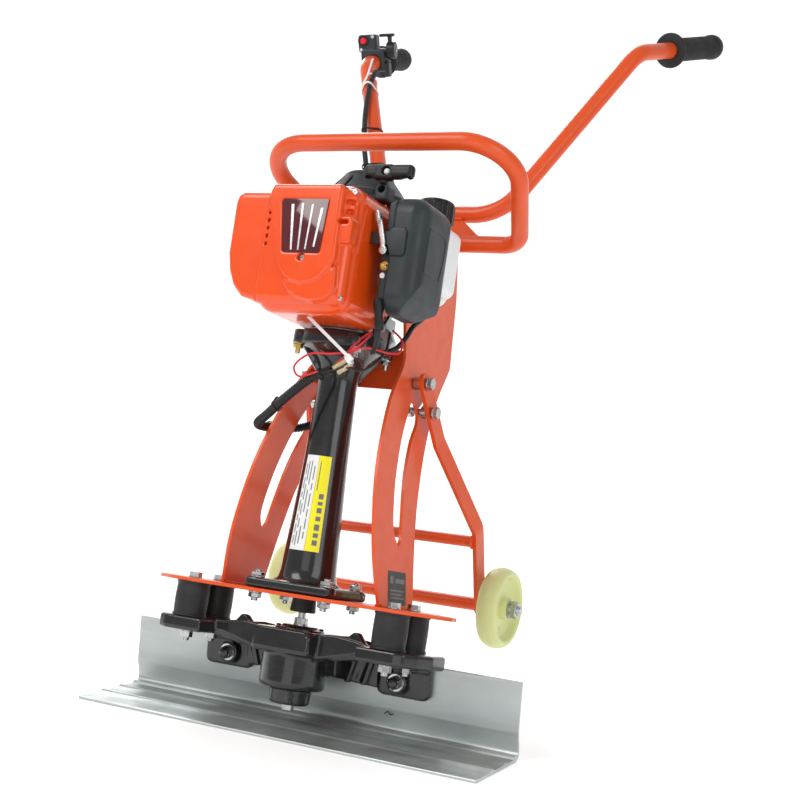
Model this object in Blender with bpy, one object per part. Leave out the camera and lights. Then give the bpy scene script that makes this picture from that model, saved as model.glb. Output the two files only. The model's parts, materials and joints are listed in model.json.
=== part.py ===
"""Walk-behind vibrating power screed: petrol engine, drive column, eccentric exciter and screed blade.

World frame: X along the blade, +Y towards the operator, +Z up. The origin is the middle of the blade's
flat sole. Everything above the blade leans back by LEAN_DEG and is modelled in the lean frame, whose
origin is on the column's axis: its Z runs up the column and its X is the world's X.
Lengths below are in millimetres and pass through mm() on their way into Blender.
"""
import bpy
import bmesh
import math
from mathutils import Matrix, Vector

# ---------------------------------------------------------------- driving dimensions (mm, degrees)
LEAN_DEG = 8.7             # the frame leans back towards the operator
AXIS_FOOT = (-7.3, 9.5)    # world y and z of the lean frame's origin
GAP = 0.3                  # between pieces that touch

BLADE_LENGTH = 514.0
BLADE_HEIGHT = 87.0
LEG_FRONT_Y = 55.0         # front face of the blade's upright leg
LEG_THICKNESS = 3.0
EAR_BOLT_X = 113.0
EAR_BOLT_Z = 66.0

MOUNT_X = 130.0            # four rubber mounts, two each side
MOUNT_YS = (-33.0, 19.0)
MOUNT_RADIUS = 20.0
PAD_TOP = 100.0            # exciter pads carry the mounts
PAD_THICKNESS = 16.0
PLATE_BOTTOM = 140.0       # base plate
PLATE_THICKNESS = 4.0
PLATE_TOP = PLATE_BOTTOM + PLATE_THICKNESS

COLUMN_BASE_RADIUS = 32.0
COLUMN_NECK_RADIUS = 23.0
FLANGE_RADIUS = 55.0
FLANGE_BOTTOM = 429.0
FLANGE_TOP = 445.0
BASE_BOLTS = (45.0, 35.0)  # half spacing of the column's foot bolts in x and y
FLANGE_BOLT = 33.0         # half spacing of the flange bolts in x and y

SIDE_THICKNESS = 4.0       # side plates converge upwards
SIDE_FOOT_X = 102.6
SIDE_SLOPE = 0.155
SIDE_TOP = 600.7

TUBE_RADIUS = 11.0         # carry loop and handlebar
TUBE_WALL = 1.6
REAR_BAR = (177.0, 612.0)  # y and z of the loop's rear bar
HANDLE_BAR = (203.0, 659.0)

PIVOT = (70.0, 410.0)      # wheel frame pivot, y and z
CLAMP = (86.0, 378.0)      # wheel frame clamp bolt
AXLE = (225.0, 161.0)      # wheel axle
WHEEL_RADIUS = 50.0
WHEEL_X = 149.0
STRAP_THICKNESS = 5.0

BOLT_RADIUS = 4.0          # M8 throughout
HEX_FLATS = 13.0


def mm(value):
    """Millimetres to metres."""
    return value * 0.001


def point(x, y, z):
    return Vector((x, y, z)) * 0.001


# ---------------------------------------------------------------- scene and materials
for old in list(bpy.data.objects):
    bpy.data.objects.remove(old, do_unlink=True)


def material(name, colour, roughness, metallic=0.0):
    finish = bpy.data.materials.new(name)
    finish.use_nodes = True
    shader = finish.node_tree.nodes["Principled BSDF"]
    shader.inputs["Base Color"].default_value = (*colour, 1.0)
    shader.inputs["Roughness"].default_value = roughness
    shader.inputs["Metallic"].default_value = metallic
    return finish


ORANGE = material("orange_paint", (0.74, 0.09, 0.025), 0.35)
BLACK = material("black_casting", (0.012, 0.013, 0.014), 0.28)
ALUMINIUM = material("mill_aluminium", (0.62, 0.65, 0.66), 0.35, 1.0)
ZINC = material("zinc_steel", (0.55, 0.57, 0.58), 0.3, 1.0)
STEEL = material("ground_steel", (0.45, 0.46, 0.47), 0.3, 1.0)
IRON = material("raw_iron", (0.16, 0.16, 0.17), 0.5, 1.0)
RUBBER = material("black_rubber", (0.02, 0.02, 0.022), 0.7)
SHROUD = material("orange_shroud", (0.82, 0.075, 0.015), 0.22)
GREY_PLASTIC = material("dark_plastic", (0.03, 0.036, 0.04), 0.45)
WHITE_PLASTIC = material("tank_plastic", (0.78, 0.8, 0.8), 0.4)
WHEEL_NYLON = material("wheel_nylon", (0.82, 0.84, 0.48), 0.4)
RED_PLASTIC = material("red_plastic", (0.7, 0.02, 0.02), 0.35)
CAST_ALUMINIUM = material("cast_aluminium", (0.42, 0.44, 0.45), 0.5, 1.0)

lean = bpy.data.objects.new("lean_frame", None)
bpy.context.scene.collection.objects.link(lean)
lean.location = point(0.0, *AXIS_FOOT)
lean.rotation_euler = (math.radians(-LEAN_DEG), 0.0, 0.0)


# ---------------------------------------------------------------- modelling helpers
def add(name, shape, finish, parent=lean, origin=(0.0, 0.0, 0.0)):
    """Turn a bmesh in millimetres into an object whose origin is at the given point of its frame."""
    bmesh.ops.remove_doubles(shape, verts=shape.verts, dist=0.0005)
    bmesh.ops.recalc_face_normals(shape, faces=shape.faces)
    bmesh.ops.transform(shape, matrix=Matrix.Scale(0.001, 4) @ Matrix.Translation(-Vector(origin)),
                        verts=shape.verts)
    mesh = bpy.data.meshes.new(name)
    shape.to_mesh(mesh)
    shape.free()
    mesh.materials.append(finish)
    mesh.shade_smooth()
    mesh.set_sharp_from_angle(angle=math.radians(35.0))
    piece = bpy.data.objects.new(name, mesh)
    bpy.context.scene.collection.objects.link(piece)
    piece.parent = parent
    piece.location = point(*origin)
    return piece


def combine(target, operation, *tools):
    """Boolean the tools into the target and leave them as wire guides."""
    for tool in tools:
        tool.hide_render = True
        tool.display_type = "WIRE"
        step = target.modifiers.new(operation.lower(), "BOOLEAN")
        step.operation = operation
        step.solver = "EXACT"
        step.object = tool


def fuse(target, *tools):
    combine(target, "UNION", *tools)


def cut(target, *tools):
    combine(target, "DIFFERENCE", *tools)


AXES = {
    "Z": Matrix.Identity(3),
    "X": Matrix(((0, 0, 1), (1, 0, 0), (0, 1, 0))),
    "-X": Matrix(((0, 0, -1), (-1, 0, 0), (0, 1, 0))),
    "-Y": Matrix(((1, 0, 0), (0, 0, -1), (0, 1, 0))),
    "Y": Matrix(((1, 0, 0), (0, 0, 1), (0, -1, 0))),
    "-Z": Matrix(((1, 0, 0), (0, -1, 0), (0, 0, -1))),
}


def facing(direction):
    """Rotation that takes +Z to a direction."""
    return Vector((0, 0, 1)).rotation_difference(Vector(direction)).to_matrix()


def turned(profile, centre=(0, 0, 0), axis="Z", segments=16, closed=False):
    """Revolve (radius, height) or (radius, height, "hex") stations.

    An open profile starts and ends on the axis or is capped there; a closed one makes a ring.
    A hex station's radius is half its width across flats, so every station has the same point count.
    """
    turn = axis if isinstance(axis, Matrix) else AXES[axis]
    shape = bmesh.new()
    rings = []
    for station in profile:
        radius, height = station[0], station[1]
        ring = []
        for index in range(segments):
            angle = 2.0 * math.pi * index / segments
            reach = radius
            if len(station) > 2:
                off_flat = (angle + math.pi / 6.0) % (math.pi / 3.0) - math.pi / 6.0
                reach = radius / math.cos(off_flat)
            spot = turn @ Vector((reach * math.cos(angle), reach * math.sin(angle), height))
            ring.append(shape.verts.new(spot + Vector(centre)))
        rings.append(ring)
    pairs = list(zip(rings, rings[1:]))
    if closed:
        pairs.append((rings[-1], rings[0]))
    else:
        shape.faces.new(rings[0])
        shape.faces.new(rings[-1])
    for low, high in pairs:
        for index in range(segments):
            follow = (index + 1) % segments
            shape.faces.new((low[index], low[follow], high[follow], high[index]))
    return shape


def block(low, high, bevel=0.0, segments=1, taper=(1.0, 1.0)):
    """Box between two corners, with all edges bevelled; taper scales the top about its middle."""
    shape = bmesh.new()
    bmesh.ops.create_cube(shape, size=1.0)
    size = [high[i] - low[i] for i in range(3)]
    middle = [(high[i] + low[i]) / 2.0 for i in range(3)]
    for vert in shape.verts:
        shrink = taper if vert.co.z > 0 else (1.0, 1.0)
        vert.co = Vector((middle[0] + vert.co.x * size[0] * shrink[0],
                          middle[1] + vert.co.y * size[1] * shrink[1],
                          middle[2] + vert.co.z * size[2]))
    if bevel:
        bmesh.ops.bevel(shape, geom=list(shape.edges), offset=bevel, segments=segments,
                        profile=0.5, affect="EDGES")
    return shape


def prism(outline, low, high, plane="XY"):
    """Extrude a flat outline between two levels of the third coordinate."""
    place = {
        "XY": lambda a, b, c: Vector((a, b, c)),
        "XZ": lambda a, b, c: Vector((a, c, b)),
        "YZ": lambda a, b, c: Vector((c, a, b)),
    }[plane]
    shape = bmesh.new()
    floors = [[shape.verts.new(place(a, b, level)) for a, b in outline] for level in (low, high)]
    shape.faces.new(floors[0])
    shape.faces.new(floors[1])
    for index in range(len(outline)):
        follow = (index + 1) % len(outline)
        shape.faces.new((floors[0][index], floors[0][follow], floors[1][follow], floors[1][index]))
    return shape


def smooth_line(points, steps):
    """Catmull-Rom curve through the points."""
    ends = [2 * Vector(points[0]) - Vector(points[1])] + [Vector(p) for p in points]
    ends.append(2 * Vector(points[-1]) - Vector(points[-2]))
    line = []
    for index in range(1, len(ends) - 2):
        a, b, c, d = ends[index - 1:index + 3]
        for step in range(steps):
            t = step / steps
            line.append(0.5 * ((2 * b) + (c - a) * t + (2 * a - 5 * b + 4 * c - d) * t * t
                               + (3 * b - a - 3 * c + d) * t ** 3))
    line.append(ends[-2])
    return line


def rounded_path(corners, radii, steps=6):
    """Straight runs joined by arcs; radii are given for the inner corners."""
    path = [Vector(corners[0])]
    for index, radius in enumerate(radii, start=1):
        here = Vector(corners[index])
        back = (Vector(corners[index - 1]) - here).normalized()
        ahead = (Vector(corners[index + 1]) - here).normalized()
        half = back.angle(ahead) / 2.0
        reach = radius / math.tan(half)
        centre = here + (back + ahead).normalized() * radius / math.sin(half)
        start = here + back * reach - centre
        end = here + ahead * reach - centre
        sweep = start.angle(end)
        for step in range(steps + 1):
            t = step / steps
            path.append(centre + (start * math.sin((1 - t) * sweep) + end * math.sin(t * sweep))
                        / math.sin(sweep))
    path.append(Vector(corners[-1]))
    return path


def pipe(path, radius, bore=0.0, segments=12):
    """Sweep a round section along a path; with a bore it is an open-ended tube."""
    shape = bmesh.new()
    tangents = []
    for index in range(len(path)):
        before = path[max(index - 1, 0)]
        after = path[min(index + 1, len(path) - 1)]
        tangents.append((after - before).normalized())
    side = tangents[0].orthogonal().normalized()
    walls = []
    for spot, tangent in zip(path, tangents):
        side = (side - tangent * side.dot(tangent)).normalized()
        other = tangent.cross(side)
        walls.append([[shape.verts.new(spot + reach * (math.cos(a) * side + math.sin(a) * other))
                       for a in (2 * math.pi * i / segments for i in range(segments))]
                      for reach in ((radius, bore) if bore else (radius,))])
    for low, high in zip(walls, walls[1:]):
        for ring_low, ring_high in zip(low, high):
            for i in range(segments):
                j = (i + 1) % segments
                shape.faces.new((ring_low[i], ring_low[j], ring_high[j], ring_high[i]))
    for end in (walls[0], walls[-1]):
        if not bore:
            shape.faces.new(end[0])
            continue
        for i in range(segments):
            j = (i + 1) % segments
            shape.faces.new((end[0][i], end[0][j], end[1][j], end[1][i]))
    return shape


def drill(radius, centre, axis, length, segments=16):
    """Guide cylinder for a hole, centred on a point."""
    shape = turned([(radius, -length / 2.0), (radius, length / 2.0)], centre, axis, segments)
    return add("drill", shape, ZINC)


# ---------------------------------------------------------------- screed blade (world frame)
def screed_blade():
    """Extruded aluminium angle: thin sole with two ribs, kicked heel and upright leg."""
    front, back = LEG_FRONT_Y, LEG_FRONT_Y + LEG_THICKNESS
    heel = 5.0
    toe = -55.0
    rib_tops = []
    for rib in (24.0, -11.0):
        rib_tops += [(rib + 3.2, 3.4), (rib + 1.4, 5.4), (rib - 1.4, 5.4), (rib - 3.2, 3.4)]
    section = [(toe, 0.0), (52.0, 0.0), (back + 2.0, 2.2), (back + heel, 6.5), (back + heel, 13.5),
               (back, 31.0), (back, BLADE_HEIGHT), (front, BLADE_HEIGHT), (front, 31.0),
               (front + heel - 0.6, 13.5), (front + heel - 1.2, 8.0), (front + 1.0, 4.6), (49.0, 3.4)]
    section += rib_tops + [(toe + 6.0, 3.2), (toe, 2.2)]
    blade = add("screed_blade", prism(section, -BLADE_LENGTH / 2, BLADE_LENGTH / 2, "YZ"),
                ALUMINIUM, parent=None)
    for side in (-1, 1):
        hole = turned([(4.5, -8.0), (4.5, 8.0)], (side * EAR_BOLT_X, front, EAR_BOLT_Z), "-Y", 16)
        cut(blade, add("blade_hole", hole, ZINC, parent=None))


# ---------------------------------------------------------------- exciter
def exciter_housing():
    """Iron casting: round can, gearbox-like head, pads under the mounts and ears bolted to the leg."""
    bore = 25.3
    can = add("exciter_housing", turned([(30.0, 38.0), (35.0, 39.5), (36.5, 44.0), (36.5, 92.0)],
                                        segments=24), BLACK)
    head = add("head_guide", block((-36.0, -40.0, 76.0), (36.0, 38.0, 104.0), 4.0), BLACK)
    pieces = [head]
    for side in (-1, 1):
        pad = [(104, -54), (150, -54), (162, -46), (176, -12), (176, 20), (160, 42), (104, 42)]
        pieces.append(add("pad_guide", prism([(side * x, y) for x, y in pad],
                                             PAD_TOP - PAD_THICKNESS, PAD_TOP), BLACK))
        arm = [(30, 78), (30, 102), (66, 102), (108, 96), (108, 84.5), (60, 78)]
        pieces.append(add("arm_guide", prism([(side * x, z) for x, z in arm], -24.0, 22.0, "XZ"), BLACK))
        top_web = [(60, 98), (72, 112), (84, 98)]
        pieces.append(add("web_guide", prism([(side * x, z) for x, z in top_web], -4.0, 4.0, "XZ"), BLACK))
    ear_back = LEG_FRONT_Y - GAP
    for side in (-1, 1):
        ear = [(84, 52), (92, 47), (140, 47), (150, 53), (150, 84), (128, 92), (84, 92)]
        pieces.append(add("ear_guide", prism([(side * x, z) for x, z in ear], ear_back - 9.0,
                                             ear_back, "XZ"), BLACK, parent=None))
        boss = turned([(13.0, 0.0), (11.0, 15.0)], (side * EAR_BOLT_X, ear_back - 3.0, EAR_BOLT_Z),
                      "-Y", 20)
        pieces.append(add("boss_guide", boss, BLACK, parent=None))
        link = [(106, 82.5), (147, 82.5), (147, 93), (106, 93)]
        pieces.append(add("link_guide", prism([(side * x, z) for x, z in link], 40.0, ear_back - 1.0,
                                              "XZ"), BLACK, parent=None))
        web = [(24, 57), (88, 54), (88, 87), (24, 83)]
        pieces.append(add("side_web_guide", prism([(side * x, z) for x, z in web], ear_back - 15.0,
                                                  ear_back - 7.5, "XZ"), BLACK, parent=None))
        brace = [(18.0, 60.0), (ear_back - 11.0, 60.0), (ear_back - 11.0, 80.0), (18.0, 80.0)]
        pieces.append(add("brace_guide", prism(brace, side * 28.0 - 3.0, side * 28.0 + 3.0, "YZ"),
                          BLACK, parent=None))
    fuse(can, *pieces)
    cavity = turned([(12.3, 30.0), (12.3, 44.0), (20.3, 44.0), (20.3, 56.0), (bore, 56.0),
                     (bore, 120.0)], segments=24)
    cut(can, add("cavity_guide", cavity, BLACK))
    for side in (-1, 1):
        for y in MOUNT_YS:
            cut(can, drill(4.4, (side * MOUNT_X, y, PAD_TOP - 8), "Z", 40.0, 12))
        hole = turned([(4.5, -30.0), (4.5, 30.0)], (side * EAR_BOLT_X, 45.0, EAR_BOLT_Z), "-Y", 12)
        cut(can, add("ear_hole", hole, BLACK, parent=None))


def exciter_inside():
    """Cover, cap, plug, bearings and the shaft with its eccentric weight."""
    add("exciter_top_cover", turned([(9.0, 99.2), (9.0, 109.0), (26.0, 109.0), (28.5, 107.5), (28.5, 104.3),
                                     (25.0, 104.3), (25.0, 86.3), (20.6, 86.3), (20.6, 99.2)],
                                    closed=True, segments=20), BLACK)
    add("exciter_lower_cap", turned([(6.3, 20.0), (20.5, 20.0), (23.0, 22.0), (23.0, 37.7), (19.0, 37.7),
                                     (19.0, 25.0), (6.3, 25.0)], closed=True), BLACK)
    add("exciter_drain_plug", turned([(6.0, 13.5, "hex"), (6.0, 19.7, "hex"), (5.9, 19.7), (5.9, 28.0)],
                                     segments=12), ZINC)
    for name, low, high in (("exciter_bearing_upper", 86.6, 98.6), ("exciter_bearing_lower", 44.3, 55.7)):
        outer = 20.3 - GAP
        inner = 8.6
        add(name, turned([(inner, low), (outer, low), (outer, high), (inner, high)], closed=True), STEEL)
    shaft = add("eccentric_shaft", turned([(8.3, 40.0), (8.3, 111.0), (7.5, 111.0, "hex"),
                                           (7.5, 117.5, "hex"), (4.5, 117.5), (4.5, 123.6)]), STEEL)
    arc = [(-23.0 * math.sin(a), 23.0 * math.cos(a))
           for a in (math.radians(d) for d in range(-80, 81, 16))]
    weight = prism(arc + [(-12.0, -2.0), (12.0, -2.0)], 58.5, 83.0)
    fuse(shaft, add("weight_guide", weight, STEEL))


def ear_bolts():
    """Studs through the ears and the leg, with a bright spring washer and domed nut in front."""
    for side, name in ((-1, "ear_bolt_left"), (1, "ear_bolt_right")):
        profile = [(BOLT_RADIUS, -26.0), (BOLT_RADIUS, -11.5), (6.5, -11.5, "hex"), (6.5, -5.6, "hex"),
                   (8.0, -5.6), (8.0, -3.3 - GAP), (BOLT_RADIUS, -3.3 - GAP), (BOLT_RADIUS, 18.0 + GAP),
                   (8.0, 18.0 + GAP), (8.0, 19.8), (6.5, 19.8, "hex"), (6.5, 25.0, "hex"), (5.0, 27.0)]
        start = LEG_FRONT_Y - GAP
        add(name, turned(profile, (side * EAR_BOLT_X, start, EAR_BOLT_Z), "-Y", 12), ZINC, parent=None)


# ---------------------------------------------------------------- mounts, base plate and column
def rubber_mounts():
    low, high = PAD_TOP + GAP, PLATE_BOTTOM - GAP
    rim, waist = MOUNT_RADIUS, MOUNT_RADIUS - 1.2
    for side, hand in ((-1, "left"), (1, "right")):
        for y, place in zip(MOUNT_YS, ("front", "rear")):
            body = [(4.3, low), (rim, low), (rim, low + 2.5), (waist, low + 4.0), (waist, high - 4.0),
                    (rim, high - 2.5), (rim, high), (4.3, high)]
            where = (side * MOUNT_X, y, 0.0)
            add(f"rubber_mount_{place}_{hand}", turned(body, where, closed=True), RUBBER, origin=where)
            under = PAD_TOP - PAD_THICKNESS
            bolt = [(BOLT_RADIUS, under - 12.0), (BOLT_RADIUS, under - 8.2), (6.5, under - 8.2, "hex"),
                    (6.5, under - 1.9, "hex"), (8.0, under - 1.9), (8.0, under - GAP),
                    (BOLT_RADIUS, under - GAP), (BOLT_RADIUS, PLATE_TOP + GAP), (8.0, PLATE_TOP + GAP),
                    (8.0, PLATE_TOP + 1.9), (6.5, PLATE_TOP + 1.9, "hex"), (6.5, PLATE_TOP + 7.2, "hex")]
            add(f"mount_bolt_{place}_{hand}", turned(bolt, where, segments=12), ZINC, origin=where)


def base_plate():
    right = [(137, -52), (188, -20), (192, -14), (190, 2), (150, 46), (112, 72)]
    left = [(-x, y) for x, y in reversed(right)]
    plate = add("base_plate", prism(right + left, PLATE_BOTTOM, PLATE_TOP), ORANGE)
    cut(plate, drill(18.0, (0, 0, PLATE_BOTTOM), "Z", 30.0, 24))
    for side in (-1, 1):
        for y in MOUNT_YS:
            cut(plate, drill(4.4, (side * MOUNT_X, y, PLATE_BOTTOM), "Z", 30.0, 12))
        for end in (-1, 1):
            cut(plate, drill(4.4, (side * BASE_BOLTS[0], end * BASE_BOLTS[1], PLATE_BOTTOM),
                             "Z", 30.0, 12))


def column():
    """Tapered casting with a square foot and a round top flange, bored for the shaft and the clutch."""
    foot = PLATE_TOP + GAP
    taper = [(COLUMN_BASE_RADIUS, foot + 4.0), (COLUMN_BASE_RADIUS, foot + 14.0), (25.5, 298.0),
             (COLUMN_NECK_RADIUS, 388.0), (24.5, 400.0), (30.0, 413.0), (40.0, 423.0),
             (FLANGE_RADIUS - 1, FLANGE_BOTTOM - 0.5), (FLANGE_RADIUS, FLANGE_BOTTOM + 1),
             (FLANGE_RADIUS, FLANGE_TOP - 1), (FLANGE_RADIUS - 1, FLANGE_TOP)]
    body = add("column", turned(taper, segments=24), BLACK)
    base = add("foot_guide", block((-55.0, -46.5, foot), (55.0, 46.5, foot + 12.0), 2.0), BLACK)
    fuse(body, base)
    bore = turned([(19.0, foot - 5.0), (19.0, 168.0), (14.3, 168.0), (14.3, 433.0), (41.0, 433.0),
                   (41.0, FLANGE_TOP + 5)], segments=16)
    cut(body, add("bore_guide", bore, BLACK))
    for side in (-1, 1):
        for end in (-1, 1):
            cut(body, drill(4.4, (side * BASE_BOLTS[0], end * BASE_BOLTS[1], foot + 6), "Z", 30.0, 12))
            cut(body, drill(3.4, (side * FLANGE_BOLT, end * FLANGE_BOLT, FLANGE_TOP), "Z", 80.0, 12))


def drive_line():
    """Shaft down the column on two bearings, clutch drum above and rubber coupling below."""
    for name, low in (("shaft_bearing_lower", 180.0), ("shaft_bearing_upper", 400.0)):
        add(name, turned([(6.3, low), (14.0, low), (14.0, low + 8.0), (6.3, low + 8.0)], closed=True), STEEL)
    add("drive_shaft", turned([(7.6, 152.3), (7.6, 162.0), (6.0, 162.0), (6.0, 435.0)]), STEEL)
    add("rubber_coupling", turned([(13.0, 124.0), (15.0, 124.5), (15.0, 126.0), (13.4, 141.0),
                                   (13.4, 151.0), (12.4, 152.0)]), RUBBER)
    add("clutch_drum", turned([(6.3, 421.0), (11.0, 421.0), (11.0, 435.5), (36.5, 435.5), (38.0, 437.0),
                               (38.0, 457.0), (35.6, 457.0), (35.6, 438.5), (6.3, 438.5)],
                              closed=True, segments=24), STEEL)
    shoes = add("clutch_shoes", turned([(6.4, 441.0), (33.5, 441.0), (33.5, 455.0), (6.4, 455.0)],
                                       closed=True, segments=20), IRON)
    for side in (-1, 1):
        slot = block((side * 24.0 - 13.0, -1.5, 430.0), (side * 24.0 + 13.0, 1.5, 460.0))
        cut(shoes, add("shoe_slot", slot, IRON))


# ---------------------------------------------------------------- side plates and cross plate
def side_x(z):
    """Middle of a side plate's thickness at a height."""
    return SIDE_FOOT_X - SIDE_SLOPE * (z - PLATE_TOP)


def lean_in(shape, side):
    """Shift each point sideways so that a flat plate follows the side plates' slope."""
    for vert in shape.verts:
        vert.co.x = side * (vert.co.x + side_x(vert.co.z))
    if side < 0:
        bmesh.ops.reverse_faces(shape, faces=shape.faces)


def side_plates():
    front = smooth_line([(-17, PLATE_TOP + GAP), (-28, 188), (-31, 228), (-27, 280), (-15, 326), (10, 382),
                         (40, 421), (47, 436)], 3)
    step = [(47, 492), (53, 499), (104, 499), (118, 512), (124, 540), (132, SIDE_TOP)]
    rear = [(204, SIDE_TOP), (198, 540), (178, 452)]
    foot = smooth_line([(176, 446), (136, 398), (106, 344), (84, 280), (74, 222), (69, PLATE_TOP + GAP)], 3)
    outline = [tuple(p)[:2] for p in front] + step + rear + [tuple(p)[:2] for p in foot]
    window = smooth_line([(30, 213), (19, 228), (17, 250), (22, 290), (36, 335), (54, 370), (66, 387),
                          (80, 378), (80, 362), (64, 338), (48, 296), (41, 250), (38, 222), (30, 213)], 3)
    swing = math.radians(35.0)
    reach = math.hypot(CLAMP[0] - PIVOT[0], CLAMP[1] - PIVOT[1])
    rest = math.atan2(CLAMP[1] - PIVOT[1], CLAMP[0] - PIVOT[0])
    slot_half = 4.7
    arc = []
    for index in range(9):
        angle = rest + swing * index / 8
        arc.append((PIVOT[0] + (reach + slot_half) * math.cos(angle),
                    PIVOT[1] + (reach + slot_half) * math.sin(angle)))
    tip = rest + swing
    for index in range(1, 6):
        turn = tip + math.pi * index / 6
        arc.append((PIVOT[0] + reach * math.cos(tip) + slot_half * math.cos(turn),
                    PIVOT[1] + reach * math.sin(tip) + slot_half * math.sin(turn)))
    for index in range(8, -1, -1):
        angle = rest + swing * index / 8
        arc.append((PIVOT[0] + (reach - slot_half) * math.cos(angle),
                    PIVOT[1] + (reach - slot_half) * math.sin(angle)))
    for index in range(1, 6):
        turn = rest + math.pi + math.pi * index / 6
        arc.append((PIVOT[0] + reach * math.cos(rest) + slot_half * math.cos(turn),
                    PIVOT[1] + reach * math.sin(rest) + slot_half * math.sin(turn)))
    half = SIDE_THICKNESS / 2
    for side, name in ((-1, "side_plate_left"), (1, "side_plate_right")):
        shape = prism(outline, -half, half, "YZ")
        lean_in(shape, side)
        plate = add(name, shape, ORANGE)
        for opening in (window[:-1], arc):
            tool = prism([tuple(p)[:2] for p in opening], -20.0, 20.0, "YZ")
            lean_in(tool, side)
            cut(plate, add("opening_guide", tool, ORANGE))
        cut(plate, drill(4.4, (side * side_x(PIVOT[1]), *PIVOT), "X", 40.0, 12))


def cross_plate():
    """Folded plate between the side plates, behind the column's flange."""
    def half_width(z):
        return side_x(z) - SIDE_THICKNESS / 2 - GAP
    low, high, fold = 398.0, 446.0, 4.0
    web = [(-half_width(low), low), (half_width(low), low), (half_width(high), high),
           (-half_width(high), high)]
    plate = add("cross_plate", prism(web, 58.0, 62.0, "XZ"), ORANGE)
    shelf_half = half_width(high)
    fuse(plate, add("shelf_guide", block((-shelf_half, 60.0, high - fold), (shelf_half, 120.0, high)),
                    ORANGE))


# ---------------------------------------------------------------- tubes: loop, handlebar and web
def carry_loop():
    """Bent tube in one piece; its two ends meet at a seam in the middle of the rear bar."""
    seam = 0.3
    front = (182.0, 8.0, 689.0)
    rear = (129.0, *REAR_BAR)
    corners = [(seam, *REAR_BAR), rear, front, (-front[0], *front[1:]), (-rear[0], *rear[1:]),
               (-seam, *REAR_BAR)]
    path = rounded_path(corners, (30.0, 58.0, 58.0, 30.0), steps=4)
    add("carry_loop", pipe(path, TUBE_RADIUS, TUBE_RADIUS - TUBE_WALL, segments=10), ORANGE)


ARM_FOOT = Vector((85.0, *HANDLE_BAR))
ARM_TOP = Vector((207.0, 304.0, 918.0))
GRIP_DIRECTION = Vector((0.222, 0.886, 0.408)).normalized()
GRIP_START = 85.0
GRIP_END = 215.0


def mirrored(vector):
    return Vector((-vector[0], vector[1], vector[2]))


def handlebar():
    """One tube: rear bar, two rising arms and the hand ends."""
    tip = ARM_TOP + GRIP_DIRECTION * (GRIP_END - 5.0)
    corners = [mirrored(tip), mirrored(ARM_TOP), mirrored(ARM_FOOT), ARM_FOOT, ARM_TOP, tip]
    path = rounded_path(corners, (55.0, 60.0, 60.0, 55.0), steps=4)
    add("handlebar", pipe(path, TUBE_RADIUS, TUBE_RADIUS - TUBE_WALL, segments=10), ORANGE)


def bar_web():
    """Flat web between the loop's rear bar and the handlebar."""
    low = Vector(REAR_BAR)
    high = Vector(HANDLE_BAR)
    along = (high - low).normalized()
    start = low + along * (TUBE_RADIUS + GAP)
    end = high - along * (TUBE_RADIUS + GAP)
    normal = Vector((-along.y, along.x)) * 2.0
    shape = bmesh.new()
    rows = []
    for spot, half in ((start, 70.0), (end, 36.0)):
        rows.append([shape.verts.new((x, *(spot + offset))) for x, offset in
                     ((-half, normal), (half, normal), (half, -normal), (-half, -normal))])
    for index in range(4):
        follow = (index + 1) % 4
        shape.faces.new((rows[0][index], rows[0][follow], rows[1][follow], rows[1][index]))
    shape.faces.new(rows[0])
    shape.faces.new(rows[1])
    add("bar_web", shape, ORANGE)


def grips():
    profile = [(TUBE_RADIUS + GAP, 0.0), (24.0, 0.0), (24.0, 4.0), (16.2, 6.0), (16.0, 116.0),
               (17.4, 119.0), (17.4, 124.0), (14.0, 130.0), (8.0, 130.0), (8.0, 127.0),
               (TUBE_RADIUS + GAP, 127.0)]
    for side, name in ((-1, "grip_left"), (1, "grip_right")):
        start = ARM_TOP + GRIP_DIRECTION * GRIP_START
        direction = GRIP_DIRECTION
        if side < 0:
            start, direction = mirrored(start), mirrored(direction)
        add(name, turned(profile, start, facing(direction), 14, closed=True), RUBBER)


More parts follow.
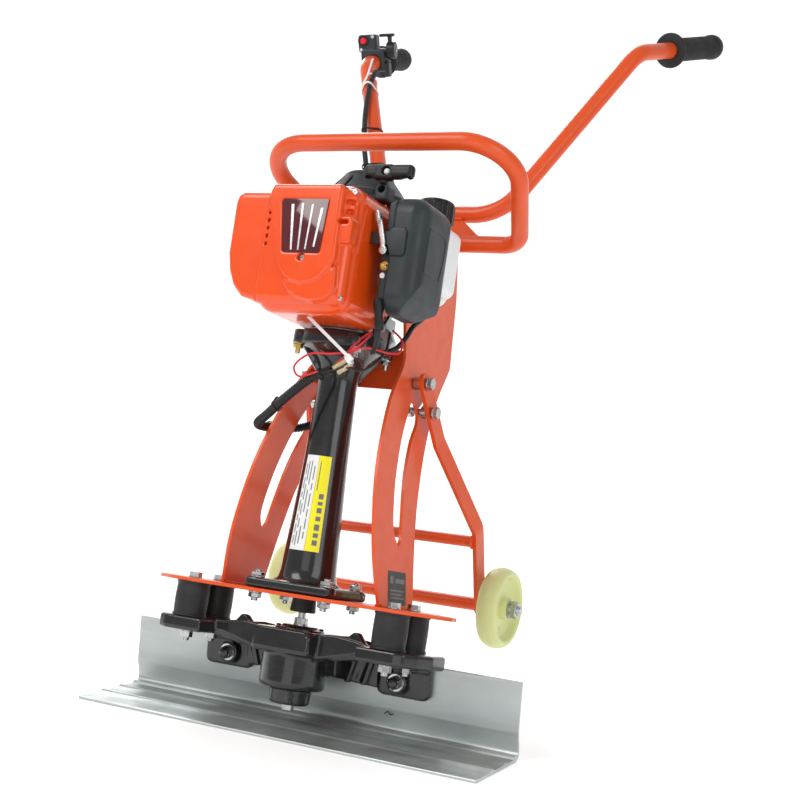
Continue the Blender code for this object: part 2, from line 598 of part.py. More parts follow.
# ---------------------------------------------------------------- hand controls on the left arm
def hand_controls():
    """Clamped switch box with a stop button, and a thumb throttle with its drum."""
    along = mirrored(GRIP_DIRECTION)
    right = Vector((1.0, 0.0, 0.0))
    right = (right - along * right.dot(along)).normalized()
    up = right.cross(along)
    frame = Matrix((right, along, up)).transposed()
    centre = mirrored(ARM_TOP) + along * 50.0

    def placed(shape):
        bmesh.ops.transform(shape, matrix=Matrix.Translation(centre) @ frame.to_4x4(), verts=shape.verts)
        return shape

    housing = add("switch_housing", placed(block((-19.0, -16.0, -14.0), (18.0, 16.0, 21.0), 3.0, 1)),
                  GREY_PLASTIC)
    tower = placed(block((-23.0, -14.0, 15.0), (6.0, 12.0, 42.0), 2.5, 1))
    lower = placed(block((14.5, -8.0, -22.0), (23.0, 8.0, 4.0), 2.0, 1))
    fuse(housing, add("tower_guide", tower, GREY_PLASTIC), add("lower_guide", lower, GREY_PLASTIC))
    cut(housing, add("clamp_guide", placed(turned([(11.3, -40.0), (11.3, 40.0)], axis="-Y")), GREY_PLASTIC))
    pocket = placed(block((-19.0, -20.0, 27.0), (-8.0, -7.0, 38.0)))
    cut(housing, add("pocket_guide", pocket, GREY_PLASTIC))
    button = placed(block((-18.6, -17.0, 27.4), (-8.4, -9.4, 37.6), 1.0, 1))
    add("stop_button", button, RED_PLASTIC)
    lever_axis = centre + frame @ Vector((26.0, 0.0, 17.0))
    lever_frame = Matrix.Translation(lever_axis) @ frame.to_4x4()
    hub = turned([(11.0, -6.5), (12.5, -5.0), (12.5, 5.0), (11.0, 6.5)], axis="X", segments=20)
    blade = block((-18.0, -6.0, 20.0), (5.0, 6.0, 25.0), 1.5, 1)
    arm = block((-5.0, -5.0, 2.0), (0.5, 5.0, 23.0), 1.0, 1)
    for shape in (hub, blade, arm):
        bmesh.ops.transform(shape, matrix=lever_frame, verts=shape.verts)
    lever = add("throttle_lever", hub, GREY_PLASTIC, origin=tuple(lever_axis))
    fuse(lever, add("lever_guide", blade, GREY_PLASTIC), add("arm_guide", arm, GREY_PLASTIC))


# ---------------------------------------------------------------- wheel frame and wheels
def strap_x(z):
    """Sideways place of a strap: along the side plate, then splayed out, then upright to the axle."""
    upper_bend, lower_bend = 346.0, 251.0
    at_pivot, at_axle = 78.0, 122.0
    at_bend = at_pivot + SIDE_SLOPE * (PIVOT[1] - upper_bend)
    if z >= upper_bend:
        return at_pivot + SIDE_SLOPE * (PIVOT[1] - z)
    if z >= lower_bend:
        return at_bend + (at_axle - at_bend) * (upper_bend - z) / (upper_bend - lower_bend)
    return at_axle


def strap(side):
    """Flat bar with round ends and two bends."""
    half = 12.0
    line = [Vector(PIVOT), Vector((111.0, 346.0)), Vector((187.0, 251.0)), Vector(AXLE)]
    first = (line[1] - line[0]).normalized()
    last = (line[3] - line[2]).normalized()
    stations = []
    for degrees in (80, 60, 40, 20):
        angle = math.radians(degrees)
        stations.append((line[0] - first * half * math.sin(angle), first, half * math.cos(angle)))
    stations.append((line[0], first, half))
    middle = (line[2] - line[1]).normalized()
    stations.append((line[1], (first + middle).normalized(), half))
    stations.append((line[2], (middle + last).normalized(), half))
    stations.append((line[3], last, half))
    for degrees in (20, 40, 60, 80):
        angle = math.radians(degrees)
        stations.append((line[3] + last * half * math.sin(angle), last, half * math.cos(angle)))
    shape = bmesh.new()
    rows = []
    for spot, heading, reach in stations:
        across = Vector((-heading.y, heading.x)) * reach
        row = []
        for edge, face in ((1, -1), (1, 1), (-1, 1), (-1, -1)):
            place = spot + across * edge
            x = strap_x(spot.y) + face * STRAP_THICKNESS / 2
            row.append(shape.verts.new((side * x, place.x, place.y)))
        rows.append(row)
    for low, high in zip(rows, rows[1:]):
        for index in range(4):
            follow = (index + 1) % 4
            shape.faces.new((low[index], low[follow], high[follow], high[index]))
    shape.faces.new(rows[0])
    shape.faces.new(rows[-1])
    return shape


def wheel_frame():
    """Two straps joined by two cross tubes, with axle ends for the wheels."""
    pivot = (0.0, *PIVOT)
    end = 179.0
    nut = WHEEL_X + 14.5
    half_axle = [(8.0, 0.0), (8.0, 134.0), (6.0, 134.0), (6.0, nut), (9.0, nut), (9.0, nut + 1.6),
                 (8.0, nut + 1.6, "hex"), (8.0, nut + 8.0, "hex"), (6.2, end - 4.0), (3.0, end - 1.0)]
    profile = [(s[0], -s[1], *s[2:]) for s in reversed(half_axle[1:])] + half_axle[1:]
    frame = add("wheel_frame", turned(profile, (0, *AXLE), "X", 12), ORANGE, origin=pivot)
    tube = turned([(7.0, -120.0), (7.0, 120.0)], (0, 183.0, 236.0), "X", 12)
    fuse(frame, add("tube_guide", tube, ORANGE))
    for side in (-1, 1):
        fuse(frame, add("strap_guide", strap(side), ORANGE))
        for spot in (PIVOT, CLAMP):
            cut(frame, drill(4.4, (side * strap_x(spot[1]), *spot), "X", 30.0, 12))


def frame_bolts():
    """Pivot bolts with their spacers, and clamp bolts that run in the side plates' arc slots."""
    for side, hand, axis in ((-1, "left", "-X"), (1, "right", "X")):
        for kind, spot in (("pivot", PIVOT), ("clamp", CLAMP)):
            tilt_room = 1.5
            outer = strap_x(spot[1]) + STRAP_THICKNESS / 2 + tilt_room
            inner = strap_x(spot[1]) - STRAP_THICKNESS / 2 - tilt_room
            clearance = GAP if kind == "pivot" else 2.8
            face = side_x(spot[1]) + SIDE_THICKNESS / 2 + clearance + 1.6
            back = side_x(spot[1]) - SIDE_THICKNESS / 2 - clearance - 1.6
            profile = [(BOLT_RADIUS, back - 12.0), (BOLT_RADIUS, back - 6.5), (6.5, back - 6.5, "hex"),
                       (6.5, back, "hex"), (BOLT_RADIUS, back), (BOLT_RADIUS, face), (8.0, face),
                       (8.0, inner), (BOLT_RADIUS, inner), (BOLT_RADIUS, outer), (8.0, outer),
                       (8.0, outer + 1.6), (6.5, outer + 1.6, "hex"), (6.5, outer + 6.9, "hex")]
            where = (0.0, *spot)
            add(f"{kind}_bolt_{hand}", turned(profile, where, axis, 12), ZINC, origin=where)


def wheels():
    """Moulded wheels with a round tread, a recessed outer face and a plain hub."""
    r = WHEEL_RADIUS
    profile = [(6.3, -14.0), (12.0, -14.0), (14.0, -9.0), (36.0, -9.0), (40.0, -12.5), (43.0, -13.2),
               (r - 4, -11.5), (r - 1.2, -7.0), (r, 0.0), (r - 1.2, 7.0), (r - 4, 11.5), (43.0, 13.2),
               (40.0, 12.5), (36.0, 8.0), (14.0, 8.0), (12.0, 14.0), (6.3, 14.0)]
    for side, name, axis in ((-1, "wheel_left", "-X"), (1, "wheel_right", "X")):
        where = (side * WHEEL_X, *AXLE)
        add(name, turned(profile, where, axis, 28, closed=True), WHEEL_NYLON, origin=where)


# ---------------------------------------------------------------- engine
def shell(low, high, bevel, wall, open_face):
    """Rounded hollow box; open_face is the axis index and sign of the missing wall."""
    outer = block(low, high, bevel, 3)
    axis, sign = open_face
    inner_low = [v + wall for v in low]
    inner_high = [v - wall for v in high]
    if sign > 0:
        inner_high[axis] = high[axis] + 10.0
    else:
        inner_low[axis] = low[axis] - 10.0
    return outer, block(inner_low, inner_high, max(bevel - wall, 0.5), 2)


def trim_to(shape, axis, level, keep_below):
    """Cut a bmesh at a plane square to an axis and cap it."""
    spot = [0.0, 0.0, 0.0]
    spot[axis] = level
    normal = [0.0, 0.0, 0.0]
    normal[axis] = 1.0 if keep_below else -1.0
    cut_edges = bmesh.ops.bisect_plane(shape, geom=list(shape.verts) + list(shape.edges) + list(shape.faces),
                                       plane_co=spot, plane_no=normal, clear_outer=True)
    edges = [e for e in cut_edges["geom_cut"] if isinstance(e, bmesh.types.BMEdge)]
    bmesh.ops.contextual_create(shape, geom=edges)
    return shape


def crankcase():
    """Aluminium block: clutch housing below, crank chamber, and the finned cylinder facing forward."""
    case = add("engine_crankcase", turned([(54.0, FLANGE_TOP + GAP), (54.0, 462.0), (48.0, 468.0),
                                           (48.0, 560.0)], segments=24), CAST_ALUMINIUM)
    profile = [(28.0, 30.0)]
    for fin in range(3):
        start = 56.0 + 11.0 * fin
        profile += [(28.0, start), (40.0, start), (40.0, start + 3.0), (28.0, start + 3.0)]
    profile.append((28.0, 94.0))
    barrel = turned(profile, (0, 0, 512), "-Y", 18)
    pieces = [add("barrel_guide", barrel, CAST_ALUMINIUM)]
    pieces.append(add("head_guide", block((-40.0, -106.0, 476.0), (40.0, -91.0, 548.0)), CAST_ALUMINIUM))
    fuse(case, *pieces)
    chamber = turned([(41.0, 440.0), (41.0, 460.0), (7.5, 460.0), (7.5, 478.0), (38.0, 478.0),
                      (38.0, 575.0)], segments=20)
    bore = turned([(19.5, 20.0), (19.5, 95.0)], (0, 0, 512), "-Y", 20)
    plug = turned([(6.0, 90.0), (6.0, 120.0)], (0, 0, 512), "-Y", 12)
    for tool in (chamber, bore, plug):
        cut(case, add("chamber_guide", tool, CAST_ALUMINIUM))
    for side in (-1, 1):
        for end in (-1, 1):
            cut(case, drill(3.4, (side * FLANGE_BOLT, end * FLANGE_BOLT, 450.0), "Z", 17.0, 12))


def crankshaft():
    """Crank with its webs and pin, the flywheel on top and the shaft end in the clutch."""
    shaft = add("crankshaft", turned([(6.0, 441.0), (6.0, 488.0), (26.0, 488.0), (26.0, 497.0), (8.0, 497.0),
                                      (8.0, 526.0), (26.0, 526.0), (26.0, 535.0), (7.0, 535.0),
                                      (7.0, 566.0), (46.0, 566.0), (46.0, 586.0), (10.0, 590.0),
                                      (10.0, 596.0)], segments=20), STEEL)
    pin = turned([(6.0, 490.0), (6.0, 533.0)], (0, -17.0, 0), "Z", 12)
    fuse(shaft, add("pin_guide", pin, STEEL))


def engine_shells():
    """Painted top cover over the cylinder, the muffler guard and the recoil starter's housing."""
    outer, inner = shell((-60.0, -136.0, 448.0), (60.0, 40.0, 597.0), 20.0, 2.6, (1, 1))
    cover = add("engine_cover", trim_to(outer, 1, -10.0, True), SHROUD)
    case_room = turned([(54.8, 430.0), (54.8, 463.0), (48.8, 469.0), (48.8, 561.0)], segments=24)
    carburettor_room = block((55.0, -46.0, 498.0), (63.0, -4.0, 538.0))
    cut(cover, add("cover_guide", inner, SHROUD), add("case_guide", case_room, SHROUD),
        add("intake_guide", carburettor_room, SHROUD))
    outer, inner = shell((-100.0, -128.0, 462.0), (-40.0, -8.0, 586.0), 18.0, 2.4, (0, 1))
    guard = add("muffler_guard", trim_to(outer, 0, -60.6, True), SHROUD)
    cut(guard, add("guard_guide", inner, SHROUD))
    can = add("muffler", block((-94.0, -104.0, 476.0), (-63.0, -34.0, 570.0), 6.0, 2), IRON)
    outlet = turned([(6.0, 26.0), (6.0, 45.0)], (-79.0, -75.0, 556.0), "Y", 12)
    cut(can, add("gas_guide", block((-92.5, -102.5, 477.5), (-64.5, -35.5, 568.5), 4.5, 1), IRON),
        add("outlet_guide", outlet, IRON))
    skirt = 562.0
    housing = add("recoil_housing", turned([(50.0, skirt), (50.0, 598.0), (58.0, 598.0), (58.0, 606.0),
                                            (54.0, 613.0), (47.0, 618.0), (30.0, 640.0), (25.0, 643.0),
                                            (0.5, 643.0), (0.5, 640.0), (24.0, 640.0), (44.0, 616.0),
                                            (47.5, 608.0), (47.5, skirt)], segments=24, closed=True),
                  GREY_PLASTIC)
    cut(housing, add("skirt_guide", block((-70.0, -80.0, 540.0), (70.0, -9.5, 597.6)), GREY_PLASTIC))
    rope_boss = block((36.0, -50.0, 598.4), (54.0, -28.0, 618.0), 2.0, 1)
    fuse(housing, add("boss_guide", rope_boss, GREY_PLASTIC))


def air_side():
    """Carburettor, air cleaner base and cover, and the choke lever on the right of the cylinder."""
    carburettor = add("carburettor", block((50.3, -44.0, 500.0), (74.0, -14.0, 536.0), 3.0), CAST_ALUMINIUM)
    throat = turned([(8.0, 40.0), (8.0, 90.0)], (0, -30.0, 520.0), "X", 16)
    cut(carburettor, add("throat_guide", throat, CAST_ALUMINIUM))
    base = add("air_cleaner_base", block((74.3, -78.0, 470.0), (84.0, 0.0, 590.0), 4.0, 2), GREY_PLASTIC)
    cut(base, add("port_guide", turned([(8.0, 60.0), (8.0, 95.0)], (0, -30.0, 520.0), "X", 16),
                  GREY_PLASTIC))
    outer, inner = shell((72.0, -82.0, 461.0), (122.0, 4.0, 596.0), 20.0, 2.4, (0, -1))
    cover = add("air_cleaner_cover", trim_to(outer, 0, 84.3, False), GREY_PLASTIC)
    cut(cover, add("cover_guide", inner, GREY_PLASTIC))
    choke_axis = (79.0, -87.0, 530.0)
    lever = turned([(2.5, 0.0), (2.5, 6.7), (5.0, 6.7), (5.0, 10.0)], (79.0, -78.3, 530.0), "-Y", 12)
    lever = add("choke_lever", lever, ZINC, origin=choke_axis)
    arm = prism([(75.4, 531.5), (82.2, 529.5), (69.5, 574.0), (63.0, 572.0)], -88.0, -85.4, "XZ")
    fuse(lever, add("choke_guide", arm, ZINC))


def fuel_side():
    """Translucent tank behind the engine and its lugged cap."""
    tank = add("fuel_tank", block((-84.0, 58.0, 506.0), (84.0, 94.0, 596.0), 13.0, 2), WHITE_PLASTIC)
    lobe = block((46.5, 25.0, 512.0), (98.0, 80.0, 595.6), 13.0, 2)
    neck = turned([(17.0, 580.0), (17.0, 606.0)], (70.0, 47.0, 0.0), "Z", 20)
    fuse(tank, add("lobe_guide", lobe, WHITE_PLASTIC), add("neck_guide", neck, WHITE_PLASTIC))
    hollow = block((-81.5, 60.5, 508.5), (81.5, 91.5, 593.5), 11.0, 2)
    lobe_hollow = block((49.0, 27.5, 514.5), (95.5, 78.0, 593.2), 11.0, 2)
    mouth = turned([(14.0, 560.0), (14.0, 620.0)], (70.0, 47.0, 0.0), "Z", 20)
    for tool in (hollow, lobe_hollow, mouth):
        cut(tank, add("hollow_guide", tool, WHITE_PLASTIC))
    cap = [(13.6, 600.0), (13.6, 606.4), (17.4, 606.4), (17.4, 598.5), (22.0, 598.5), (23.2, 600.0),
           (23.2, 624.0), (21.0, 627.5), (2.0, 628.5)]
    where = (70.0, 47.0, 0.0)
    add("fuel_cap", turned(cap, where, "Z", 24), GREY_PLASTIC, origin=where)


def starter_and_plug():
    """Pull handle over the recoil housing and the spark plug with its boot in the cylinder head."""
    where = (45.0, -48.0, 632.0)
    handle = add("starter_grip", block((20.0, -55.0, 623.0), (84.0, -41.0, 641.0), 5.0, 2), GREY_PLASTIC,
                 origin=where)
    stem = turned([(4.5, 618.3), (6.0, 624.5)], (45.0, -46.5, 0.0), "Z", 12)
    knot_recess = turned([(4.5, 49.0), (4.5, 60.0)], (50.0, 0.0, 632.0), "-Y", 12)
    fuse(handle, add("stem_guide", stem, GREY_PLASTIC))
    cut(handle, add("knot_guide", knot_recess, GREY_PLASTIC))
    add("spark_plug", turned([(4.0, 84.0), (4.0, 92.0), (5.6, 92.0), (5.6, 106.3), (9.5, 106.3, "hex"),
                              (9.5, 112.0, "hex"), (7.0, 112.0), (7.0, 126.0)], (0, 0, 512), "-Y", 12),
        WHITE_PLASTIC)


def cables():
    """Captive conduits: engine stop and throttle down the left arm, and the looped harness below."""
    arm = mirrored(ARM_TOP - ARM_FOOT)
    foot = mirrored(ARM_FOOT)

    def beside(share, x, y, z=0.0):
        return foot + arm * share + Vector((x, y, z))
    route = [beside(0.975, 22, -4, -14), beside(0.92, 18, -12, -2), beside(0.8, 8, -17), beside(0.6, -4, -18),
             beside(0.4, -11, -17), beside(0.2, -14, -17), (-116.0, 172.0, 664.0), (-98.0, 132.0, 632.0),
             (-72.0, 96.0, 615.0), (-50.0, 70.0, 604.0)]
    add("control_conduit", pipe(smooth_line(route, 3), 3.6, segments=8), GREY_PLASTIC)
    loop = [(26.0, -66.0, 396.0), (2.0, -69.0, 383.0), (-30.0, -60.0, 362.0), (-62.0, -42.0, 343.0),
            (-86.0, -22.0, 334.0), (-94.0, 2.0, 333.0), (-90.0, 28.0, 336.0), (-73.0, 48.0, 340.0),
            (-48.0, 51.0, 350.0), (-26.0, 42.0, 368.0), (-14.0, 40.0, 394.0), (-14.0, 55.6, 401.0)]
    add("harness_conduit", pipe(smooth_line(loop, 4), 5.6, segments=8), GREY_PLASTIC)


def build_all():
    screed_blade()
    exciter_housing()
    exciter_inside()
    ear_bolts()
    rubber_mounts()
    base_plate()
    column()
    drive_line()
    side_plates()
    cross_plate()
    carry_loop()
    handlebar()
    bar_web()
    grips()
    hand_controls()
    wheel_frame()
    frame_bolts()
    wheels()
    crankcase()
    crankshaft()
    engine_shells()
    air_side()
    fuel_side()
    starter_and_plug()
    cables()


build_all()
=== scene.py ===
"""Power screed: the look of the machine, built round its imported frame.

Shapes are modelled in millimetres, most of them in the machine's leaning frame: X along the blade,
Y back to the operator, Z up the drive column.
"""
import bmesh
import bpy
import json
import math
from mathutils import Matrix, Vector, noise


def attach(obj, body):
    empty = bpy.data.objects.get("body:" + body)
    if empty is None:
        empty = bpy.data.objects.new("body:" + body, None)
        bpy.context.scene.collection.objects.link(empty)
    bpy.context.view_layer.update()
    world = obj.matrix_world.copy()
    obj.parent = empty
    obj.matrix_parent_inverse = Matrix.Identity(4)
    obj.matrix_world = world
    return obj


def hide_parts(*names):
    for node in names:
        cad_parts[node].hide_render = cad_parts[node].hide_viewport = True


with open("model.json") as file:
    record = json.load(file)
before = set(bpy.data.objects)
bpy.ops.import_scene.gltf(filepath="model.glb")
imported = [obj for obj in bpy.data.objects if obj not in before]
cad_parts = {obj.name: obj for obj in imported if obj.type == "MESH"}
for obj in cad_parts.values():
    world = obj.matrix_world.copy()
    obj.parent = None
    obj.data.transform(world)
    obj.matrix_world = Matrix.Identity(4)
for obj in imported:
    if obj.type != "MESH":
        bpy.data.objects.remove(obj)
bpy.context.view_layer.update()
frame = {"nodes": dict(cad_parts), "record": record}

SCALE = Matrix.Scale(0.001, 4)
WORLD = SCALE.copy()
LEAN = Matrix.Translation((0.0, -0.0073, 0.0095)) @ Matrix.Rotation(math.radians(-8.7), 4, "X") @ SCALE


# ---------------------------------------------------------------- materials
def ramp(tree, source, low, high):
    """0 below low, 1 above high."""
    node = tree.nodes.new("ShaderNodeMapRange")
    node.inputs["From Min"].default_value = low
    node.inputs["From Max"].default_value = high
    tree.links.new(source, node.inputs["Value"])
    return node.outputs["Result"]


def scaled(tree, source, factor):
    node = tree.nodes.new("ShaderNodeMath")
    node.operation = "MULTIPLY"
    node.inputs[1].default_value = factor
    tree.links.new(source, node.inputs[0])
    return node.outputs["Value"]


def times(tree, first, second):
    node = tree.nodes.new("ShaderNodeMath")
    node.operation = "MULTIPLY"
    tree.links.new(first, node.inputs[0])
    tree.links.new(second, node.inputs[1])
    return node.outputs["Value"]


def blend_colour(tree, share, first, second):
    """Mix of two colours, each an output or a tuple."""
    node = tree.nodes.new("ShaderNodeMix")
    node.data_type = "RGBA"
    tree.links.new(share, node.inputs["Factor"])
    for socket, value in ((node.inputs[6], first), (node.inputs[7], second)):
        if isinstance(value, tuple):
            socket.default_value = (*value, 1.0)
        else:
            tree.links.new(value, socket)
    return node.outputs[2]


def speckle(tree, coordinates, scale, detail=4.0, stretch=(1, 1, 1), distortion=0.0):
    place = tree.nodes.new("ShaderNodeMapping")
    place.inputs["Scale"].default_value = stretch
    tree.links.new(coordinates, place.inputs["Vector"])
    node = tree.nodes.new("ShaderNodeTexNoise")
    node.inputs["Scale"].default_value = scale
    node.inputs["Detail"].default_value = detail
    node.inputs["Distortion"].default_value = distortion
    tree.links.new(place.outputs["Vector"], node.inputs["Vector"])
    return node.outputs["Fac"]


def finish(name, colour, roughness, metallic=0.0, coat=0.0, tone=0.08, tone_scale=14.0, swing=0.08,
           swing_scale=60.0, grain=0.15, grain_scale=900.0, depth=0.0001, dust=0.0,
           dust_colour=(0.45, 0.43, 0.4), marks=0.0, marks_colour=(0.7, 0.7, 0.7), stretch=(1, 1, 1),
           marks_scale=6.0, scatter=0.0, waves=0.0, waves_scale=25.0):
    made = bpy.data.materials.new(name)
    made.use_nodes = True
    tree = made.node_tree
    shader = tree.nodes["Principled BSDF"]
    shader.inputs["Metallic"].default_value = metallic
    shader.inputs["Coat Weight"].default_value = coat
    shader.inputs["Coat Roughness"].default_value = 0.06
    shader.inputs["Specular IOR Level"].default_value = 0.36
    coordinates = tree.nodes.new("ShaderNodeTexCoord").outputs["Object"]
    darker = tuple(c * (1 - tone) for c in colour)
    lighter = tuple(min(1.0, c * (1 + tone)) for c in colour)
    colour_now = blend_colour(tree, ramp(tree, speckle(tree, coordinates, tone_scale, 6.0, stretch), 0.3,
            0.7), darker, lighter)
    if marks:
        lines = ramp(tree, speckle(tree, coordinates, marks_scale, 5.0, tuple(s * 1.7 for s in stretch), 0.4),
                     0.58, 0.72)
        colour_now = blend_colour(tree, scaled(tree, lines, marks), colour_now, marks_colour)
    if dust:
        cloud = ramp(tree, speckle(tree, coordinates, 22.0, 8.0), 0.45, 0.75)
        up = tree.nodes.new("ShaderNodeSeparateXYZ")
        tree.links.new(tree.nodes.new("ShaderNodeNewGeometry").outputs["Normal"], up.inputs[0])
        share = scaled(tree, times(tree, cloud, ramp(tree, up.outputs["Z"], -0.4, 1.0)), dust)
        colour_now = blend_colour(tree, share, colour_now, dust_colour)
    tree.links.new(colour_now, shader.inputs["Base Color"])
    spread = tree.nodes.new("ShaderNodeMapRange")
    tree.links.new(speckle(tree, coordinates, swing_scale, 5.0, stretch), spread.inputs["Value"])
    spread.inputs["From Min"].default_value = 0.3
    spread.inputs["From Max"].default_value = 0.7
    spread.inputs["To Min"].default_value = max(0.03, roughness - swing)
    spread.inputs["To Max"].default_value = min(1.0, roughness + swing)
    tree.links.new(spread.outputs["Result"], shader.inputs["Roughness"])
    bump = tree.nodes.new("ShaderNodeBump")
    bump.inputs["Strength"].default_value = grain
    bump.inputs["Distance"].default_value = depth
    tree.links.new(speckle(tree, coordinates, grain_scale, 3.0, stretch), bump.inputs["Height"])
    if waves:
        swell = tree.nodes.new("ShaderNodeBump")
        swell.inputs["Strength"].default_value = waves
        swell.inputs["Distance"].default_value = 0.002
        tree.links.new(speckle(tree, coordinates, waves_scale, 1.0), swell.inputs["Height"])
        tree.links.new(swell.outputs["Normal"], bump.inputs["Normal"])
    tree.links.new(bump.outputs["Normal"], shader.inputs["Normal"])
    if scatter:
        shader.inputs["Subsurface Weight"].default_value = scatter
        shader.inputs["Subsurface Radius"].default_value = (0.006, 0.005, 0.004)
        shader.inputs["Subsurface Scale"].default_value = 1.0
    return made


PAINT = finish("orange_paint", (0.74, 0.082, 0.010), 0.36, coat=0.15, tone=0.06, grain=0.25,
               grain_scale=420.0, dust=0.05, marks=0.05, marks_colour=(0.85, 0.25, 0.12), marks_scale=9.0)
SHROUD = finish("orange_shroud", (0.80, 0.072, 0.004), 0.2, coat=0.45, tone=0.04, grain=0.08,
                grain_scale=700.0, dust=0.04, swing=0.05)
CASTING = finish("black_casting", (0.010, 0.010, 0.011), 0.2, coat=0.6, tone=0.3, grain=0.45,
                 grain_scale=330.0, depth=0.00025, dust=0.05, waves=0.12, waves_scale=70.0)
PLASTIC = finish("dark_plastic", (0.024, 0.031, 0.035), 0.42, tone=0.15, grain=0.35, grain_scale=1600.0,
                 dust=0.05)
BLACK_PLASTIC = finish("black_plastic", (0.010, 0.010, 0.011), 0.35, tone=0.2, grain=0.2, grain_scale=1500.0)
RUBBER = finish("black_rubber", (0.014, 0.014, 0.015), 0.5, tone=0.25, grain=0.4, grain_scale=1100.0,
                dust=0.12, swing=0.12)
NYLON = finish("pale_nylon", (0.70, 0.73, 0.33), 0.38, tone=0.05, grain=0.15, grain_scale=300.0, scatter=0.25,
               dust=0.08, dust_colour=(0.6, 0.6, 0.4), waves=0.1)
ALUMINIUM = finish("mill_aluminium", (0.47, 0.505, 0.50), 0.42, metallic=0.8, tone=0.2, tone_scale=10.0,
                   swing=0.1, swing_scale=30.0, grain=0.35, grain_scale=500.0, stretch=(0.08, 1.0, 1.0),
                   marks=0.4, marks_colour=(0.66, 0.69, 0.68), marks_scale=45.0, dust=0.5,
                   dust_colour=(0.17, 0.165, 0.15))
ZINC = finish("zinc_steel", (0.50, 0.52, 0.51), 0.26, metallic=1.0, tone=0.16, tone_scale=120.0, grain=0.2)
STEEL = finish("machined_steel", (0.5, 0.5, 0.5), 0.28, metallic=1.0, tone=0.1, tone_scale=90.0)
CAST_ALUMINIUM = finish("cast_aluminium", (0.48, 0.50, 0.50), 0.45, metallic=1.0, tone=0.12, grain=0.6,
                        grain_scale=500.0, depth=0.0002)
BRASS = finish("brass", (0.7, 0.5, 0.16), 0.3, metallic=1.0)
TANK = finish("tank_plastic", (0.80, 0.83, 0.82), 0.36, tone=0.03, scatter=0.5, grain=0.1, waves=0.15)
WHITE = finish("white_nylon", (0.82, 0.83, 0.82), 0.4, tone=0.04, scatter=0.2)
RED = finish("red_plastic", (0.68, 0.012, 0.03), 0.3, tone=0.05)
RED_WIRE = finish("red_wire", (0.62, 0.02, 0.03), 0.35, tone=0.08)
BLACK_WIRE = finish("black_wire", (0.012, 0.012, 0.013), 0.35, tone=0.2)
BRAID = finish("woven_sleeve", (0.022, 0.022, 0.023), 0.55, tone=0.4, tone_scale=700.0, grain=0.5,
               grain_scale=1500.0)
MAROON = finish("badge_maroon", (0.09, 0.006, 0.010), 0.12, coat=0.8, tone=0.12, tone_scale=40.0)
SILVER = finish("badge_silver", (0.75, 0.76, 0.77), 0.25, metallic=0.7, tone=0.06)
LABEL_WHITE = finish("label_white", (0.80, 0.81, 0.80), 0.3, tone=0.03)
LABEL_YELLOW = finish("label_yellow", (0.86, 0.78, 0.02), 0.3, tone=0.03)
LABEL_BLACK = finish("label_black", (0.014, 0.014, 0.015), 0.3, tone=0.1)
LABEL_GREY = finish("label_grey", (0.16, 0.16, 0.17), 0.4, tone=0.1)
NAVY = finish("navy_decal", (0.012, 0.022, 0.075), 0.3, tone=0.1)
AMBER = finish("crimp_sleeve", (0.45, 0.36, 0.20), 0.2, tone=0.25, tone_scale=200.0, coat=0.5)
LIME = finish("gasket_lime", (0.62, 0.72, 0.05), 0.4, tone=0.1)


# ---------------------------------------------------------------- mesh helpers (millimetres)
AXES = {"Z": Matrix.Identity(3), "X": Matrix(((0, 0, 1), (1, 0, 0), (0, 1, 0))),
        "-X": Matrix(((0, 0, -1), (-1, 0, 0), (0, 1, 0))), "-Y": Matrix(((1, 0, 0), (0, 0, -1), (0, 1, 0))),
        "Y": Matrix(((1, 0, 0), (0, 0, 1), (0, -1, 0))), "-Z": Matrix(((1, 0, 0), (0, -1, 0), (0, 0, -1))),}
SIDES = ((-1, "left"), (1, "right"))


def facing(direction):
    return Vector((0, 0, 1)).rotation_difference(Vector(direction)).to_matrix()


def turned(profile, centre=(0, 0, 0), axis="Z", segments=64, closed=False):
    """Revolved (radius, height) stations; a third item "hex" makes that station a hexagon."""
    turn = axis if isinstance(axis, Matrix) else AXES[axis]
    shape = bmesh.new()
    rings = []
    for station in profile:
        ring = []
        for index in range(segments):
            angle = 2.0 * math.pi * index / segments
            reach = station[0]
            if len(station) > 2:
                reach /= math.cos((angle + math.pi / 6.0) % (math.pi / 3.0) - math.pi / 6.0)
            spot = turn @ Vector((reach * math.cos(angle), reach * math.sin(angle), station[1]))
            ring.append(shape.verts.new(spot + Vector(centre)))
        rings.append(ring)
    pairs = list(zip(rings, rings[1:]))
    if closed:
        pairs.append((rings[-1], rings[0]))
    else:
        shape.faces.new(rings[0])
        shape.faces.new(rings[-1])
    for low, high in pairs:
        for index in range(segments):
            follow = (index + 1) % segments
            shape.faces.new((low[index], low[follow], high[follow], high[index]))
    return shape


def softened(profile, radius, steps=4, closed=False):
    """The same profile with its corners rounded."""
    points = [Vector(p[:2]) for p in profile]
    made = []
    count = len(points)
    for index, here in enumerate(points):
        if not closed and index in (0, count - 1):
            made.append(tuple(here))
            continue
        back = points[index - 1] - here
        ahead = points[(index + 1) % count] - here
        reach = min(radius, back.length * 0.45, ahead.length * 0.45)
        start, end = here + back.normalized() * reach, here + ahead.normalized() * reach
        for step in range(steps + 1):
            t = step / steps
            made.append(tuple((1 - t) ** 2 * start + 2 * t * (1 - t) * here + t * t * end))
    return made


def block(low, high, bevel=0.0, segments=3):
    shape = bmesh.new()
    bmesh.ops.create_cube(shape, size=1.0)
    for vert in shape.verts:
        for i in range(3):
            vert.co[i] = (high[i] + low[i]) / 2.0 + vert.co[i] * (high[i] - low[i])
    if bevel:
        bmesh.ops.bevel(shape, geom=list(shape.edges), offset=bevel, segments=segments, profile=0.5,
                        affect="EDGES")
    return shape


